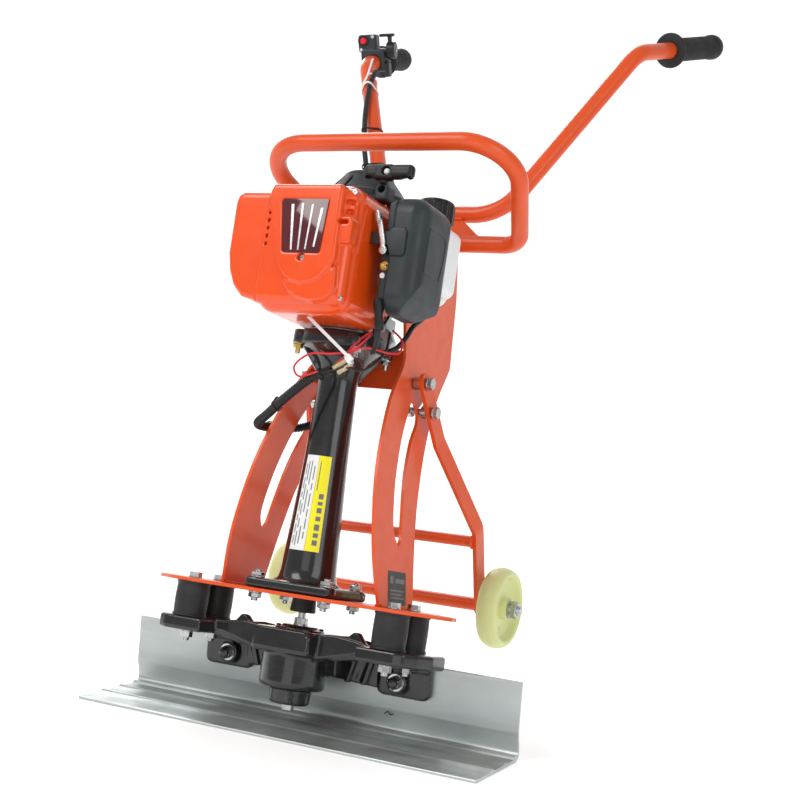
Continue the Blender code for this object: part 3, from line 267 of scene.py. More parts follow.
def prism(outline, low, high, plane="XY", bevel=0.0, segments=2):
    """Flat outline extruded between two levels; the two rims can be bevelled."""
    place = {"XY": lambda a, b, c: Vector((a, b, c)), "XZ": lambda a, b, c: Vector((a, c, b)), "YZ": lambda a,
             b, c: Vector((c, a, b))}[plane]
    shape = bmesh.new()
    floors = [[shape.verts.new(place(p[0], p[1], level)) for p in outline] for level in (low, high)]
    rims = [shape.faces.new(floors[0]), shape.faces.new(floors[1])]
    for index in range(len(outline)):
        follow = (index + 1) % len(outline)
        shape.faces.new((floors[0][index], floors[0][follow], floors[1][follow], floors[1][index]))
    if bevel:
        edges = {edge for face in rims for edge in face.edges}
        bmesh.ops.bevel(shape, geom=list(edges), offset=bevel, segments=segments, profile=0.5, affect="EDGES")
    return shape


def smooth_line(points, steps):
    ends = [2 * Vector(points[0]) - Vector(points[1])] + [Vector(p) for p in points]
    ends.append(2 * Vector(points[-1]) - Vector(points[-2]))
    line = []
    for index in range(1, len(ends) - 2):
        a, b, c, d = ends[index - 1:index + 3]
        for step in range(steps):
            t = step / steps
            line.append(0.5 * ((2 * b) + (c - a) * t + (2 * a - 5 * b + 4 * c - d) * t * t
                               + (3 * b - a - 3 * c + d) * t ** 3))
    line.append(ends[-2])
    return line


def evenly(path, pitch):
    """Points a fixed distance apart along a path."""
    lengths = [0.0]
    for a, b in zip(path, path[1:]):
        lengths.append(lengths[-1] + (b - a).length)
    count = max(2, round(lengths[-1] / pitch))
    made, index = [], 0
    for step in range(count + 1):
        want = lengths[-1] * step / count
        while index < len(path) - 2 and lengths[index + 1] < want:
            index += 1
        span = lengths[index + 1] - lengths[index]
        made.append(path[index].lerp(path[index + 1], (want - lengths[index]) / span))
    return made


def rounded_path(corners, radii, steps=14):
    path = [Vector(corners[0])]
    for index, radius in enumerate(radii, start=1):
        here = Vector(corners[index])
        back = (Vector(corners[index - 1]) - here).normalized()
        ahead = (Vector(corners[index + 1]) - here).normalized()
        half = back.angle(ahead) / 2.0
        centre = here + (back + ahead).normalized() * radius / math.sin(half)
        start = here + back * radius / math.tan(half) - centre
        end = here + ahead * radius / math.tan(half) - centre
        sweep = start.angle(end)
        for step in range(steps + 1):
            t = step / steps
            path.append(centre + (start * math.sin((1 - t) * sweep)
                                  + end * math.sin(t * sweep)) / math.sin(sweep))
    path.append(Vector(corners[-1]))
    return path


def pipe(path, radius, bore=0.0, segments=32, relief=None, closed=False):
    """Round section swept along a path. relief(ring index, angle) adds to the outer radius."""
    shape = bmesh.new()
    count = len(path)
    tangents = []
    for index in range(count):
        before = path[index - 1] if closed or index else path[0]
        after = path[(index + 1) % count] if closed else path[min(index + 1, count - 1)]
        tangents.append((after - before).normalized())
    side = tangents[0].orthogonal().normalized()
    walls = []
    for place, (spot, tangent) in enumerate(zip(path, tangents)):
        side = (side - tangent * side.dot(tangent)).normalized()
        other = tangent.cross(side)
        rings = []
        for reach in ((radius, bore) if bore else (radius,)):
            ring = []
            for i in range(segments):
                a = 2 * math.pi * i / segments
                r = reach + (relief(place, a) if relief and reach == radius else 0.0)
                ring.append(shape.verts.new(spot + r * (math.cos(a) * side + math.sin(a) * other)))
            rings.append(ring)
        walls.append(rings)
    pairs = list(zip(walls, walls[1:])) + ([(walls[-1], walls[0])] if closed else [])
    for low, high in pairs:
        for ring_low, ring_high in zip(low, high):
            for i in range(segments):
                j = (i + 1) % segments
                shape.faces.new((ring_low[i], ring_low[j], ring_high[j], ring_high[i]))
    if not closed:
        for end in (walls[0], walls[-1]):
            if not bore:
                shape.faces.new(end[0])
                continue
            for i in range(segments):
                j = (i + 1) % segments
                shape.faces.new((end[0][i], end[0][j], end[1][j], end[1][i]))
    return shape


def ribbon(path, normals, width, thickness):
    """Flat strap along a path; normals point out of its face."""
    shape = bmesh.new()
    rows = []
    for index, spot in enumerate(path):
        tangent = (path[min(index + 1, len(path) - 1)] - path[max(index - 1, 0)]).normalized()
        out = Vector(normals[index])
        out = (out - tangent * out.dot(tangent)).normalized()
        across = tangent.cross(out) * width / 2
        rise = out * thickness
        rows.append([shape.verts.new(spot + v) for v in (across, across + rise, -across + rise, -across)])
    for low, high in zip(rows, rows[1:]):
        for i in range(4):
            j = (i + 1) % 4
            shape.faces.new((low[i], low[j], high[j], high[i]))
    shape.faces.new(rows[0])
    shape.faces.new(rows[-1])
    return shape


def moved(shape, matrix):
    bmesh.ops.transform(shape, matrix=matrix, verts=shape.verts)
    return shape


def soften(piece, width):
    """Small rounding, in metres, on every clear edge."""
    soft = piece.modifiers.new("soften", "BEVEL")
    soft.width = width
    soft.segments = 2
    soft.limit_method = "ANGLE"
    soft.angle_limit = math.radians(38.0)
    soft.harden_normals = True


def add(name, shape, material, body="frame", where=LEAN, stands_for=(), sharp=35.0, bevel=0.0):
    """Turn millimetre geometry into a piece that rides on a body."""
    if isinstance(shape, bmesh.types.BMesh):
        bmesh.ops.remove_doubles(shape, verts=shape.verts, dist=0.0005)
        bmesh.ops.recalc_face_normals(shape, faces=shape.faces)
        mesh = bpy.data.meshes.new(name)
        shape.to_mesh(mesh)
        shape.free()
    else:
        mesh = shape
        mesh.name = name
    mesh.transform(where)
    mesh.materials.clear()
    mesh.materials.append(material)
    mesh.shade_smooth()
    if sharp:
        mesh.set_sharp_from_angle(angle=math.radians(sharp))
    piece = bpy.data.objects.new(name, mesh)
    bpy.context.scene.collection.objects.link(piece)
    if bevel:
        soften(piece, bevel * 0.001)
    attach(piece, body)
    if stands_for:
        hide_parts(*([stands_for] if isinstance(stands_for, str) else stands_for))
    return piece


def temporary(shape):
    bmesh.ops.recalc_face_normals(shape, faces=shape.faces)
    mesh = bpy.data.meshes.new("tool")
    shape.to_mesh(mesh)
    shape.free()
    return placed_tool(mesh)


def skinned(tool, voxel, rounds):
    skin = tool.modifiers.new("skin", "REMESH")
    skin.mode = "VOXEL"
    skin.voxel_size = voxel
    skin.use_smooth_shade = True
    soft = tool.modifiers.new("soft", "SMOOTH")
    soft.factor = 0.5
    soft.iterations = rounds


def placed_tool(mesh):
    tool = bpy.data.objects.new("tool", mesh)
    bpy.context.scene.collection.objects.link(tool)
    return tool


def combine(base, tool, operation):
    step = base.modifiers.new("step", "BOOLEAN")
    step.operation, step.solver, step.object = operation, "EXACT", tool


def finished_mesh(base):
    bpy.context.view_layer.update()
    return bpy.data.meshes.new_from_object(base.evaluated_get(bpy.context.evaluated_depsgraph_get()))


def mould(adds, cuts=(), voxel=1.1, rounds=4):
    """Shapes joined, cut, then skinned with soft fillets as a casting or moulding has."""
    base = temporary(adds[0])
    tools = []
    for operation, shapes in (("UNION", adds[1:]), ("DIFFERENCE", cuts)):
        for shape in shapes:
            tool = temporary(shape)
            tools.append(tool)
            combine(base, tool, operation)
    skinned(base, voxel, rounds)
    mesh = finished_mesh(base)
    for tool in [base, *tools]:
        data = tool.data
        bpy.data.objects.remove(tool)
        bpy.data.meshes.remove(data)
    return mesh


def hexagon(radius, low, high):
    """Chamfered hexagon head or nut, as turned stations."""
    return [(radius * 0.93, low), (radius, low + 0.5, "hex"), (radius, high - 0.7, "hex"),
            (radius * 0.9, high)]


def bolt(name, centre, axis, head=5.2, flats=6.5, washer=8.0, body="frame", material=None, where=LEAN):
    """Washer, hexagon and a short threaded end standing on a face."""
    profile = [(washer, 0.0), (washer, 1.3), (washer - 0.4, 1.6)] + hexagon(flats, 1.6, 1.6 + head)
    profile += [(3.9, 1.6 + head), (3.9, 3.6 + head), (3.2, 4.4 + head)]
    return add(name, turned(profile, centre, axis, 36), material or ZINC, body=body, where=where)


def weld_bead(name, points, radius=2.0, body="frame", where=LEAN):
    """Uneven bead of weld laid along a line."""
    path = evenly([Vector(p) for p in points], 0.9)

    def ripple(place, angle):
        stack = 0.28 * math.cos(place * 0.9 * 2 * math.pi / 3.4)
        return stack * radius / 2 + 0.45 * noise.noise(Vector((place * 0.21, math.cos(angle),
                math.sin(angle))))
    return add(name, pipe(path, radius, segments=12, relief=ripple), PAINT, body=body, where=where,
               sharp=0)


# ---------------------------------------------------------------- frame measures, as in the CAD
MOUNT_X, MOUNT_YS = 130.0, (-33.0, 19.0)
PAD_TOP, PLATE_BOTTOM, PLATE_TOP = 100.0, 140.0, 144.0
SLOPE, SIDE_FOOT_X = 0.155, 102.6
TUBE = 11.0
FOOT_BOLT_X, FOOT_BOLT_Y = 45, 35
COLUMN_RADIUS, COLUMN_FOOT, COLUMN_RISE, COLUMN_TAPER = 32.0, 172.0, 126.0, 6.5
REAR_BAR, HANDLE_BAR = (177.0, 612.0), (203.0, 659.0)
PIVOT, AXLE = (70.0, 410.0), (225.0, 161.0)
ARM_FOOT, ARM_TOP = Vector((85.0, *HANDLE_BAR)), Vector((207.0, 304.0, 918.0))
GRIP_WAY = Vector((0.222, 0.886, 0.408)).normalized()


def side_x(z):
    return SIDE_FOOT_X - SLOPE * (z - PLATE_TOP)


def mirrored(v):
    return Vector((-v[0], v[1], v[2]))


def handed(points, side):
    """The right-hand outline, or its mirror image where side is -1."""
    return [(side * x, y) for x, y in points]


def outline(points, steps):
    """Smooth flat curve through the points."""
    return [tuple(p)[:2] for p in smooth_line(points, steps)]


# ---------------------------------------------------------------- screed blade (world axes)
def blade():
    front, back, toe, half = 55.0, 58.0, -55.0, 256.8
    section = [(toe, 0.4), (toe + 0.4, 0.0)] + [(y, 0.0) for y in (-40, -20, 0, 20, 40)]
    section += outline([(51, 0.0), (57.5, 0.9), (61.4, 4.0), (63.0, 8.6), (62.2, 14.5), (59.2, 24.0),
                        (58.05, 31.0)], 5)
    section += [(back, 60.0), (back, 86.4), (back - 0.6, 87.0), (front + 0.6, 87.0), (front, 86.4),
                (front, 60.0)]
    section += outline([(front, 31.0), (57.2, 24.0), (59.6, 14.5), (59.3, 9.2), (56.8, 6.1), (53.4, 6.9),
                        (50.5, 6.6), (47.5, 3.6)], 5)
    for rib in (24.0, -11.0):
        section += outline([(rib + 6.0, 3.3), (rib + 3.4, 4.2), (rib + 1.6, 5.3), (rib, 5.6),
                            (rib - 1.6, 5.3), (rib - 3.4, 4.2), (rib - 6.0, 3.3)], 4)
    section += [(-30.0, 3.2), (-46.0, 3.1), (toe + 2.0, 3.4), (toe + 0.4, 3.0), (toe, 2.4)]
    shape = prism(section, -half, half, "YZ")
    add("screed_blade_skin", shape, ALUMINIUM, where=WORLD, stands_for="screed_blade",
        sharp=28)
    # small inked inspection tick on the leg
    tick = [Vector((92.0, 56.2, 24.0)), Vector((97.0, 55.4, 27.5)), Vector((99.0, 56.2, 24.5)),
            Vector((104.0, 56.0, 25.5))]
    add("blade_tick", pipe(smooth_line(tick, 6), 0.55, segments=8), LABEL_BLACK, where=WORLD)


# ---------------------------------------------------------------- exciter
def exciter():
    adds = [turned([(30.0, 38.0), (35.6, 38.8), (37.8, 43.0), (37.8, 92.0)], segments=72),
            block((-37.4, -41.2, 77.0), (37.4, 38.0, 101.0), 4.0),
            prism([(-37.5, -34), (-37.5, 30), (-30, 38), (30, 38), (37.5, 30), (37.5, -34), (30, -41.2),
                   (-30, -41.2)], 94.0, 104.0, bevel=1.5)]
    for side in (-1, 1):
        pad = [(100, -54), (148, -54), (158, -50), (168, -34), (176, -12), (176, 20), (168, 34), (158, 42),
               (100, 42)]
        adds.append(prism(handed(pad, side), PAD_TOP - 16.0, PAD_TOP, bevel=2.5))
        arm = [(28, 76.5), (28, 101.5), (58, 102.5), (84, 99.0), (110, 95.5), (110, 84.3), (84, 82),
               (60, 77.0)]
        adds.append(prism(handed(arm, side), -20.0, 19.0, "XZ", bevel=2.0))
        adds.append(prism(handed(((56, 98), (71, 111.5), (78, 111.5), (90, 97)), side), -4.4, 4.2, "XZ"))
        for edge in (-22.5, 18.5):
            rib = [(32, 74), (32, 103.5), (60, 105.5), (104, 100.5), (104, 92)]
            adds.append(prism(handed(rib, side), edge, edge + 5.0, "XZ"))
        adds.append(turned([(15.0, 84.3), (15.0, 86.0), (13.0, 90.0)], (side * MOUNT_X, MOUNT_YS[0], 0),
                           segments=32))
    cast = mould(adds, [turned([(25.3, 60.0), (25.3, 120.0)], segments=48),
                        turned([(20.0, 30.0), (20.0, 70.0)], segments=48)], voxel=1.15, rounds=4)
    cast.transform(LEAN)
    ears = []
    ear_back, ear_x, ear_z = 54.7, 113.0, 66.0
    for side in (-1, 1):
        ear = [(84, 54), (86, 50), (92, 47.5), (143, 47.5), (148, 49.5), (150.3, 54), (150.3, 86), (128, 92),
               (84, 92)]
        ears.append(prism(handed(ear, side), ear_back - 8.5, ear_back, "XZ", bevel=1.5))
        ears.append(turned([(16.0, 0.0), (13.2, 5.0), (12.8, 12.2), (12.0, 13.2)],
                           (side * ear_x, ear_back - 5.0, ear_z), "-Y", 40))
        ears.append(prism(handed(((101, 80), (149, 80), (149, 95), (101, 95)), side), 36.0, ear_back - 1.0,
                          "XZ", bevel=2.0))
        ears.append(prism(handed(((24, 58), (88, 55), (88, 88), (24, 84)), side), ear_back - 14.5,
                          ear_back - 7.0, "XZ"))
        for x in (46.0, 68.0):
            ears.append(prism(handed(((x, 56), (x + 7, 56), (x + 16, 86), (x + 9, 86)), side),
                              ear_back - 18.5, ear_back - 10.0, "XZ"))
        ears.append(block((side * 28.0 - 3.4, 14.0, 59.0), (side * 28.0 + 3.4, ear_back - 10.0, 81.0)))
    bolted = mould(ears, voxel=1.15, rounds=4)
    bolted.transform(WORLD)
    base, other = placed_tool(cast), placed_tool(bolted)
    combine(base, other, "UNION")
    skinned(base, 0.00115, 3)
    mesh = finished_mesh(base)
    for tool in (base, other):
        bpy.data.objects.remove(tool)
    add("exciter_casting", mesh, CASTING, where=Matrix.Identity(4), stands_for="exciter_housing",
        sharp=0)
    cover = softened([(9.0, 99.2), (9.0, 109.0), (20.0, 109.0), (23.0, 106.4), (28.5, 105.6), (28.5, 103.2),
                      (25.0, 103.2), (25.0, 86.3), (20.6, 86.3), (20.6, 99.2)], 0.8, 3, True)
    add("exciter_cover_skin", turned(cover, closed=True), CASTING, stands_for="exciter_top_cover")
    cap = mould([turned([(20.3, 20.2), (22.9, 22.6), (24.6, 37.6)], segments=48)]
                + [moved(block((19.0, -3.0, 22.6), (25.2, 3.0, 37.6), 0.8),
                         Matrix.Rotation(math.radians(a), 4, "Z")) for a in range(0, 360, 60)],
                [turned([(6.3, 10.0), (6.3, 50.0)], segments=32)], 0.9, 2)
    add("exciter_cap_skin", cap, CASTING, stands_for="exciter_lower_cap", sharp=0)
    for index, angle in enumerate(range(30, 360, 60)):
        a = math.radians(angle)
        add(f"cover_screw_{index}", turned([(2.6, 0.0), (2.6, 1.6), (2.0, 2.2), (1.2, 2.2), (1.0, 1.2)],
                (24.6 * math.cos(a), 24.6 * math.sin(a), 105.9), segments=20), BLACK_PLASTIC)
    # bright lock ring and domed stud on each ear boss
    for side, hand in SIDES:
        where = (side * ear_x, 36.2, ear_z)
        ring = [(4.3, -0.6), (9.8, -0.6), (10.2, 0.2), (9.8, 1.0), (4.3, 1.0)]
        add(f"ear_ring_{hand}", turned(ring, where, "-Y", 40, closed=True), ZINC, where=WORLD)
        nut = [(4.3, 1.1), (7.1, 1.4, "hex"), (7.1, 6.0, "hex"), (6.3, 6.8), (5.8, 9.4), (4.2, 10.6),
               (0.5, 11.0)]
        add(f"ear_nut_{hand}", turned([(0.5, 1.1)] + nut, where, "-Y", 48), CASTING, where=WORLD)


# ---------------------------------------------------------------- rubber mounts, base plate, column
def mounts():
    for side, hand in SIDES:
        for y, place in zip(MOUNT_YS, ("front", "rear")):
            low, high = PAD_TOP + 0.3, PLATE_BOTTOM - 0.3
            body = [(4.3, low), (20.0, low), (20.0, low + 1.8), (19.6, low + 2.2)]
            body += [(18.9 + 0.5 * math.sin(math.pi * i / 12), low + 2.4 + (high - low - 4.8) * i / 12)
                     for i in range(13)]
            body += [(19.6, high - 2.2), (20.0, high - 1.8), (20.0, high), (4.3, high)]
            add(f"mount_{place}_{hand}", turned(body, (side * MOUNT_X, y, 0), closed=True), RUBBER,
                stands_for=f"rubber_mount_{place}_{hand}", sharp=50)


def foot_bolts():
    """Bolts that hold the column's foot: heads above, washers and nuts under the plate."""
    for i, (x, y) in enumerate(((-FOOT_BOLT_X, -FOOT_BOLT_Y), (FOOT_BOLT_X, -FOOT_BOLT_Y),
            (-FOOT_BOLT_X, FOOT_BOLT_Y), (FOOT_BOLT_X, FOOT_BOLT_Y))):
        add(f"foot_nut_{i}", turned([(8.0, 0.3), (8.0, 1.8)] + hexagon(6.5, 1.8, 7.2)
                + [(3.9, 7.2), (3.9, 10.0), (3.2, 10.6)], (x, y, PLATE_BOTTOM), "-Z", 36), ZINC)
        bolt(f"foot_bolt_{i}", (x, y, 156.4), "Z", head=4.6, flats=6.2, washer=7.6)
    for i, (x, y) in enumerate(((-33, -33), (33, -33), (-33, 33), (33, 33))):
        add(f"flange_nut_{i}", turned([(7.0, 0.0), (7.0, 1.2)] + hexagon(5.0, 1.2, 5.6)
                + [(2.9, 5.6), (2.9, 11.5), (2.3, 12.0)], (x * 1.16, y * 1.16, 428.3), "-Z", 36), BRASS
            if i == 0 else ZINC)


def column():
    taper = [(40.0, 155.8), (36.5, 157.6), (34.0, 161.0), (32.4, 168.0), (COLUMN_RADIUS, COLUMN_FOOT)]
    taper += [(COLUMN_RADIUS - COLUMN_TAPER * t, COLUMN_FOOT + COLUMN_RISE * t)
              for t in (0.25, 0.5, 0.75, 1.0)]
    taper += [(24.2, 343.0), (23.1, 384.0), (23.2, 392.0), (24.4, 401.0), (27.4, 409.0), (32.5, 416.0),
              (39.0, 421.6), (44.0, 424.4), (48.5, 426.4), (52.8, 428.0), (54.4, 429.0), (55.0, 430.4),
              (55.0, 443.6), (54.0, 444.7), (41.0, 444.8), (41.0, 434.0), (14.3, 434.0), (14.3, 168.0),
              (19.0, 168.0), (19.0, 154.6), (36.0, 154.6)]
    add("column_body", turned(taper, segments=96, closed=True), CASTING, stands_for="column",
        sharp=50)
    foot = mould([block((-55.0, -46.5, 144.3), (55.0, 46.5, 156.2), 3.5)]
                 + [turned([(11.0, 150.0), (10.6, 156.4)], (x, y, 0), segments=32)
                    for x in (-FOOT_BOLT_X, FOOT_BOLT_X) for y in (-FOOT_BOLT_Y, FOOT_BOLT_Y)]
                 + [prism([(28, 150), (28, 166), (46, 155.5), (46, 150)], -3.0, 3.0, "XZ"),
                    prism([(-28, 150), (-28, 166), (-46, 155.5), (-46, 150)], -3.0, 3.0, "XZ")],
                 [turned([(18.9, 140.0), (18.9, 170.0)], segments=48)], 1.0, 3)
    add("column_foot", foot, CASTING, sharp=0)
    for i, (x, y) in enumerate(((-1, -1), (1, -1), (-1, 1), (1, 1))):
        lug = [(13.0, 429.4), (13.4, 430.4), (13.4, 443.0), (12.6, 444.4)]
        add(f"flange_lug_{i}", turned(lug, (x * 33.6, y * 33.6, 0), segments=40), CASTING)
        rib = prism([(24.5, 396.0), (50.0, 428.5), (50.0, 431.0), (22.0, 431.0)], -2.6, 2.6, "XZ", bevel=0.8)
        add(f"flange_rib_{i}", moved(rib, Matrix.Rotation(math.radians((45, 135, -45, -135)[i]), 4, "Z")),
            CASTING)


def labels():
    """Plain two-colour data sticker round the column and a black label on the side plate, without wording."""
    def patch(name, start, end, low, high, gap, material, columns=18, rows=12):
        shape = bmesh.new()
        grid = []
        for r in range(rows + 1):
            z = low + (high - low) * r / rows
            radius = COLUMN_RADIUS - COLUMN_TAPER * (z - COLUMN_FOOT) / COLUMN_RISE
            line = []
            for c in range(columns + 1):
                a = math.radians(start + (end - start) * c / columns)
                line.append([shape.verts.new(((radius + g) * math.sin(a), -(radius + g) * math.cos(a), z))
                             for g in (gap - 0.16, gap)])
            grid.append(line)
        for r in range(rows):
            for c in range(columns):
                for k in (0, 1):
                    shape.faces.new((grid[r][c][k], grid[r][c + 1][k], grid[r + 1][c + 1][k],
                                     grid[r + 1][c][k]))
        for r in range(rows):
            for c in (0, columns):
                shape.faces.new((grid[r][c][0], grid[r + 1][c][0], grid[r + 1][c][1], grid[r][c][1]))
        for c in range(columns):
            for r in (0, rows):
                shape.faces.new((grid[r][c][0], grid[r][c + 1][0], grid[r][c + 1][1], grid[r][c][1]))
        return add(name, shape, material)
    patch("sticker_white", -26, 12, 193.0, 302.5, 0.3, LABEL_WHITE)
    patch("sticker_yellow", 12.6, 44, 193.0, 302.5, 0.3, LABEL_YELLOW)
    patch("sticker_rule", 18, 20, 262.0, 296.0, 0.45, LABEL_GREY, 2)
    index = 0
    for start, runs in ((-21, ((200, 209), (212, 222), (226, 233), (237, 249), (253, 259), (263, 276),
            (280, 292))), (-14, ((198, 214), (218, 229), (233, 246), (250, 268), (272, 295))),
            (-6, ((200, 220), (236, 262), (268, 296))), (3, ((206, 214), (217, 229), (231, 240), (243, 258),
            (262, 270), (274, 290)))):
        for low, high in runs:
            patch(f"sticker_bar_{index}", start, start + 2.6, low, high, 0.42, LABEL_GREY, 2, 2)
            index += 1
    for low, high in ((200, 206), (209, 214), (217, 224), (228, 233), (237, 243), (246, 250), (253, 259)):
        patch(f"sticker_bar_{index}", 26, 37, low, high, 0.42, LABEL_GREY, 4, 2)
        index += 1

    def on_plate(name, y0, y1, z0, z1, gap, material):
        shape = block((0.0, y0, z0), (0.2, y1, z1))
        for vert in shape.verts:
            vert.co.x += side_x(vert.co.z) + 2.0 + gap
        return add(name, shape, material)
    on_plate("plate_label", 4.0, 50.0, 148.0, 185.0, 0.05, LABEL_BLACK)
    for i, (y0, y1, z0, z1) in enumerate(((22, 46, 172, 177), (10, 44, 162.5, 164.5), (10, 40, 158.5, 160.5),
            (10, 43, 154.5, 156.5), (9, 17, 171, 179))):
        on_plate(f"plate_label_bar_{i}", y0, y1, z0, z1, 0.3, LABEL_GREY)


# ---------------------------------------------------------------- tubes
def tubes():
    front, rear = (182.0, 8.0, 689.0), (129.0, *REAR_BAR)
    corners = [(0.0, *REAR_BAR), rear, front, mirrored(front), mirrored(rear), (0.0, *REAR_BAR)]
    path = rounded_path(corners, (30.0, 58.0, 58.0, 30.0))[:-1]
    add("carry_loop_tube", pipe(path, TUBE, segments=40, closed=True), PAINT, stands_for="carry_loop",
        sharp=0)
    tip = ARM_TOP + GRIP_WAY * 210.0
    corners = [mirrored(tip), mirrored(ARM_TOP), mirrored(ARM_FOOT), ARM_FOOT, ARM_TOP, tip]
    path = rounded_path(corners, (55.0, 60.0, 60.0, 55.0))
    add("handlebar_tube", pipe(path, TUBE, TUBE - 1.6, segments=40), PAINT, stands_for="handlebar",
        sharp=50)
    seam = [(TUBE * math.cos(a), TUBE * math.sin(a)) for a in (2 * math.pi * i / 24 for i in range(25))]
    weld_bead("loop_seam", [(0.0, REAR_BAR[0] + a * 0.98, REAR_BAR[1] + b * 0.98) for a, b in seam], 1.3)
    low, high = Vector(REAR_BAR), Vector(HANDLE_BAR)
    along = (high - low).normalized()
    normal = Vector((-along.y, along.x))
    for k, sign in enumerate((-1, 1)):
        for j, (middle, half, toward) in enumerate(((low, 69.0, 1), (high, 35.0, -1))):
            place = middle + along * toward * (TUBE - 0.2) + normal * sign * 2.6
            weld_bead(f"web_weld_{k}_{j}", [(-half, *place), (0, *place), (half, *place)], 2.3)
    for side, hand in SIDES:
        x = side * side_x(600.0)
        for place, off in (("out", side * 2.6), ("in", -side * 2.6)):
            rise = [(x + off, y, 601.0 - 0.05 * abs(y - REAR_BAR[0])) for y in (164, 172, 180, 190)]
            weld_bead(f"top_weld_{hand}_{place}", rise, 2.2)
        start, end = -15.0, 66.0
        for j, off in enumerate((-2.8, 2.8)):
            line = [(side_x(PLATE_TOP) * side + off, start + (end - start) * t, PLATE_TOP + 0.9)
                    for t in (0, 0.33, 0.66, 1)]
            weld_bead(f"foot_weld_{hand}_{j}", line, 1.9)
        low_x, high_x = side * (side_x(402.0) - 2.6), side * (side_x(440.0) - 2.6)
        weld_bead(f"cross_weld_{hand}_0", [(low_x, 56.8, 399.0), (low_x, 56.8, 405.0)], 1.8)
        weld_bead(f"cross_weld_{hand}_1", [(high_x, 70.0, 446.8), (high_x, 115.0, 446.8)], 1.8)


def grips():
    body = [(11.2, 0.0), (22.6, 0.0), (24.0, 1.0), (24.0, 3.2), (22.8, 4.2), (18.0, 5.0), (16.4, 7.0)]
    steps = 44
    for i in range(steps):
        z = 9.0 + 100.0 * i / steps
        body += [(15.3, z), (16.2, z + 0.55), (16.2, z + 1.5), (15.3, z + 2.0)]
    body += [(15.4, 111.0), (16.4, 113.0), (17.6, 116.0), (17.8, 122.0), (17.0, 126.0), (13.8, 129.4),
             (8.0, 130.0), (8.0, 127.0), (11.2, 127.0)]
    for side, hand in SIDES:
        start, way = ARM_TOP + GRIP_WAY * 85.0, GRIP_WAY
        if side < 0:
            start, way = mirrored(start), mirrored(way)
        add(f"hand_grip_{hand}", turned(body, start, facing(way), 56, closed=True), RUBBER,
            stands_for=f"grip_{hand}", sharp=60)


# ---------------------------------------------------------------- wheel frame
def strap_x(z):
    upper, lower, at_pivot, at_axle = 346.0, 251.0, 78.0, 122.0
    bend = at_pivot + SLOPE * (PIVOT[1] - upper)
    if z >= upper:
        return at_pivot + SLOPE * (PIVOT[1] - z)
    if z >= lower:
        return bend + (at_axle - bend) * (upper - z) / (upper - lower)
    return at_axle


def strap(side, half=12.0, thick=5.0):
    corners = [(strap_x(z), y, z) for y, z in (PIVOT, (111.0, 346.0), (187.0, 251.0), AXLE)]
    path = rounded_path(corners, (26.0, 26.0), 8)
    shape = bmesh.new()
    rows = []
    count = len(path)
    stations = []
    first = (path[1] - path[0]).normalized()
    last = (path[-1] - path[-2]).normalized()
    for k in range(11, 0, -1):
        a = math.radians(90 * k / 12 + 5)
        stations.append((path[0] - first * half * math.sin(a), first, half * math.cos(a)))
    for i, spot in enumerate(path):
        heading = (path[min(i + 1, count - 1)] - path[max(i - 1, 0)]).normalized()
        stations.append((spot, heading, half))
    for k in range(1, 12):
        a = math.radians(90 * k / 12 + 5)
        stations.append((path[-1] + last * half * math.sin(a), last, half * math.cos(a)))
    for spot, heading, reach in stations:
        flat = Vector((0.0, -heading.z, heading.y)).normalized()
        across = flat * reach
        out = Vector((1.0, 0.0, 0.0)) * thick / 2
        rows.append([shape.verts.new(Vector((side * p.x, p.y, p.z)))
                     for p in (spot + across - out, spot + across + out, spot - across + out,
                               spot - across - out)])
    for low, high in zip(rows, rows[1:]):
        for i in range(4):
            j = (i + 1) % 4
            shape.faces.new((low[i], low[j], high[j], high[i]))
    shape.faces.new(rows[0])
    shape.faces.new(rows[-1])
    return shape


def wheel_frame():
    first = None
    for side, hand in SIDES:
        piece = add(f"strap_{hand}", strap(side), PAINT, body="wheel_frame", bevel=0.7)
        first = first or piece
    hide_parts("wheel_frame")
    add("frame_tube", turned([(6.7, -119.8), (7.0, -119.4), (7.0, 119.4), (6.7, 119.8)], (0, 183.0, 236.0),
                             "X", 48), PAINT, body="wheel_frame")
    add("axle_tube", turned([(7.6, -124.2), (8.0, -123.8), (8.0, 123.8), (7.6, 124.2)], (0, *AXLE), "X", 48),
        PAINT, body="wheel_frame")
    for side, hand in SIDES:
        axis = "X" if side > 0 else "-X"
        end = [(5.9, 120.0), (5.9, 164.0), (5.4, 165.0), (5.4, 176.5), (4.4, 178.0)]
        add(f"axle_end_{hand}", turned(end, (0, *AXLE), axis, 40), ZINC, body="wheel_frame")
        add(f"axle_nut_{hand}", turned([(6.0, 163.3), (12.0, 163.3), (12.0, 164.8), (9.4, 165.0),
                (9.2, 165.6, "hex"), (9.2, 172.6, "hex"), (8.2, 173.4), (6.0, 173.4)], (0, *AXLE), axis, 48,
                closed=True), ZINC, body="wheel_frame")
        spacer = [(6.2, 124.6), (9.5, 124.6), (9.5, 134.4), (6.2, 134.4)]
        add(f"axle_spacer_{hand}", turned(spacer, (0, *AXLE), axis, 40, closed=True), PAINT,
            body="wheel_frame")
        for name, (y, z), r in (("tube", (183.0, 236.0), 7.4), ("axle", AXLE, 8.4)):
            x = side * (strap_x(z) - 3.2)
            ring = [(x, y + r * math.cos(a), z + r * math.sin(a)) for a in (2 * math.pi * i / 24
                    for i in range(25))]
            weld_bead(f"{name}_weld_{hand}", ring, 1.7, body="wheel_frame")


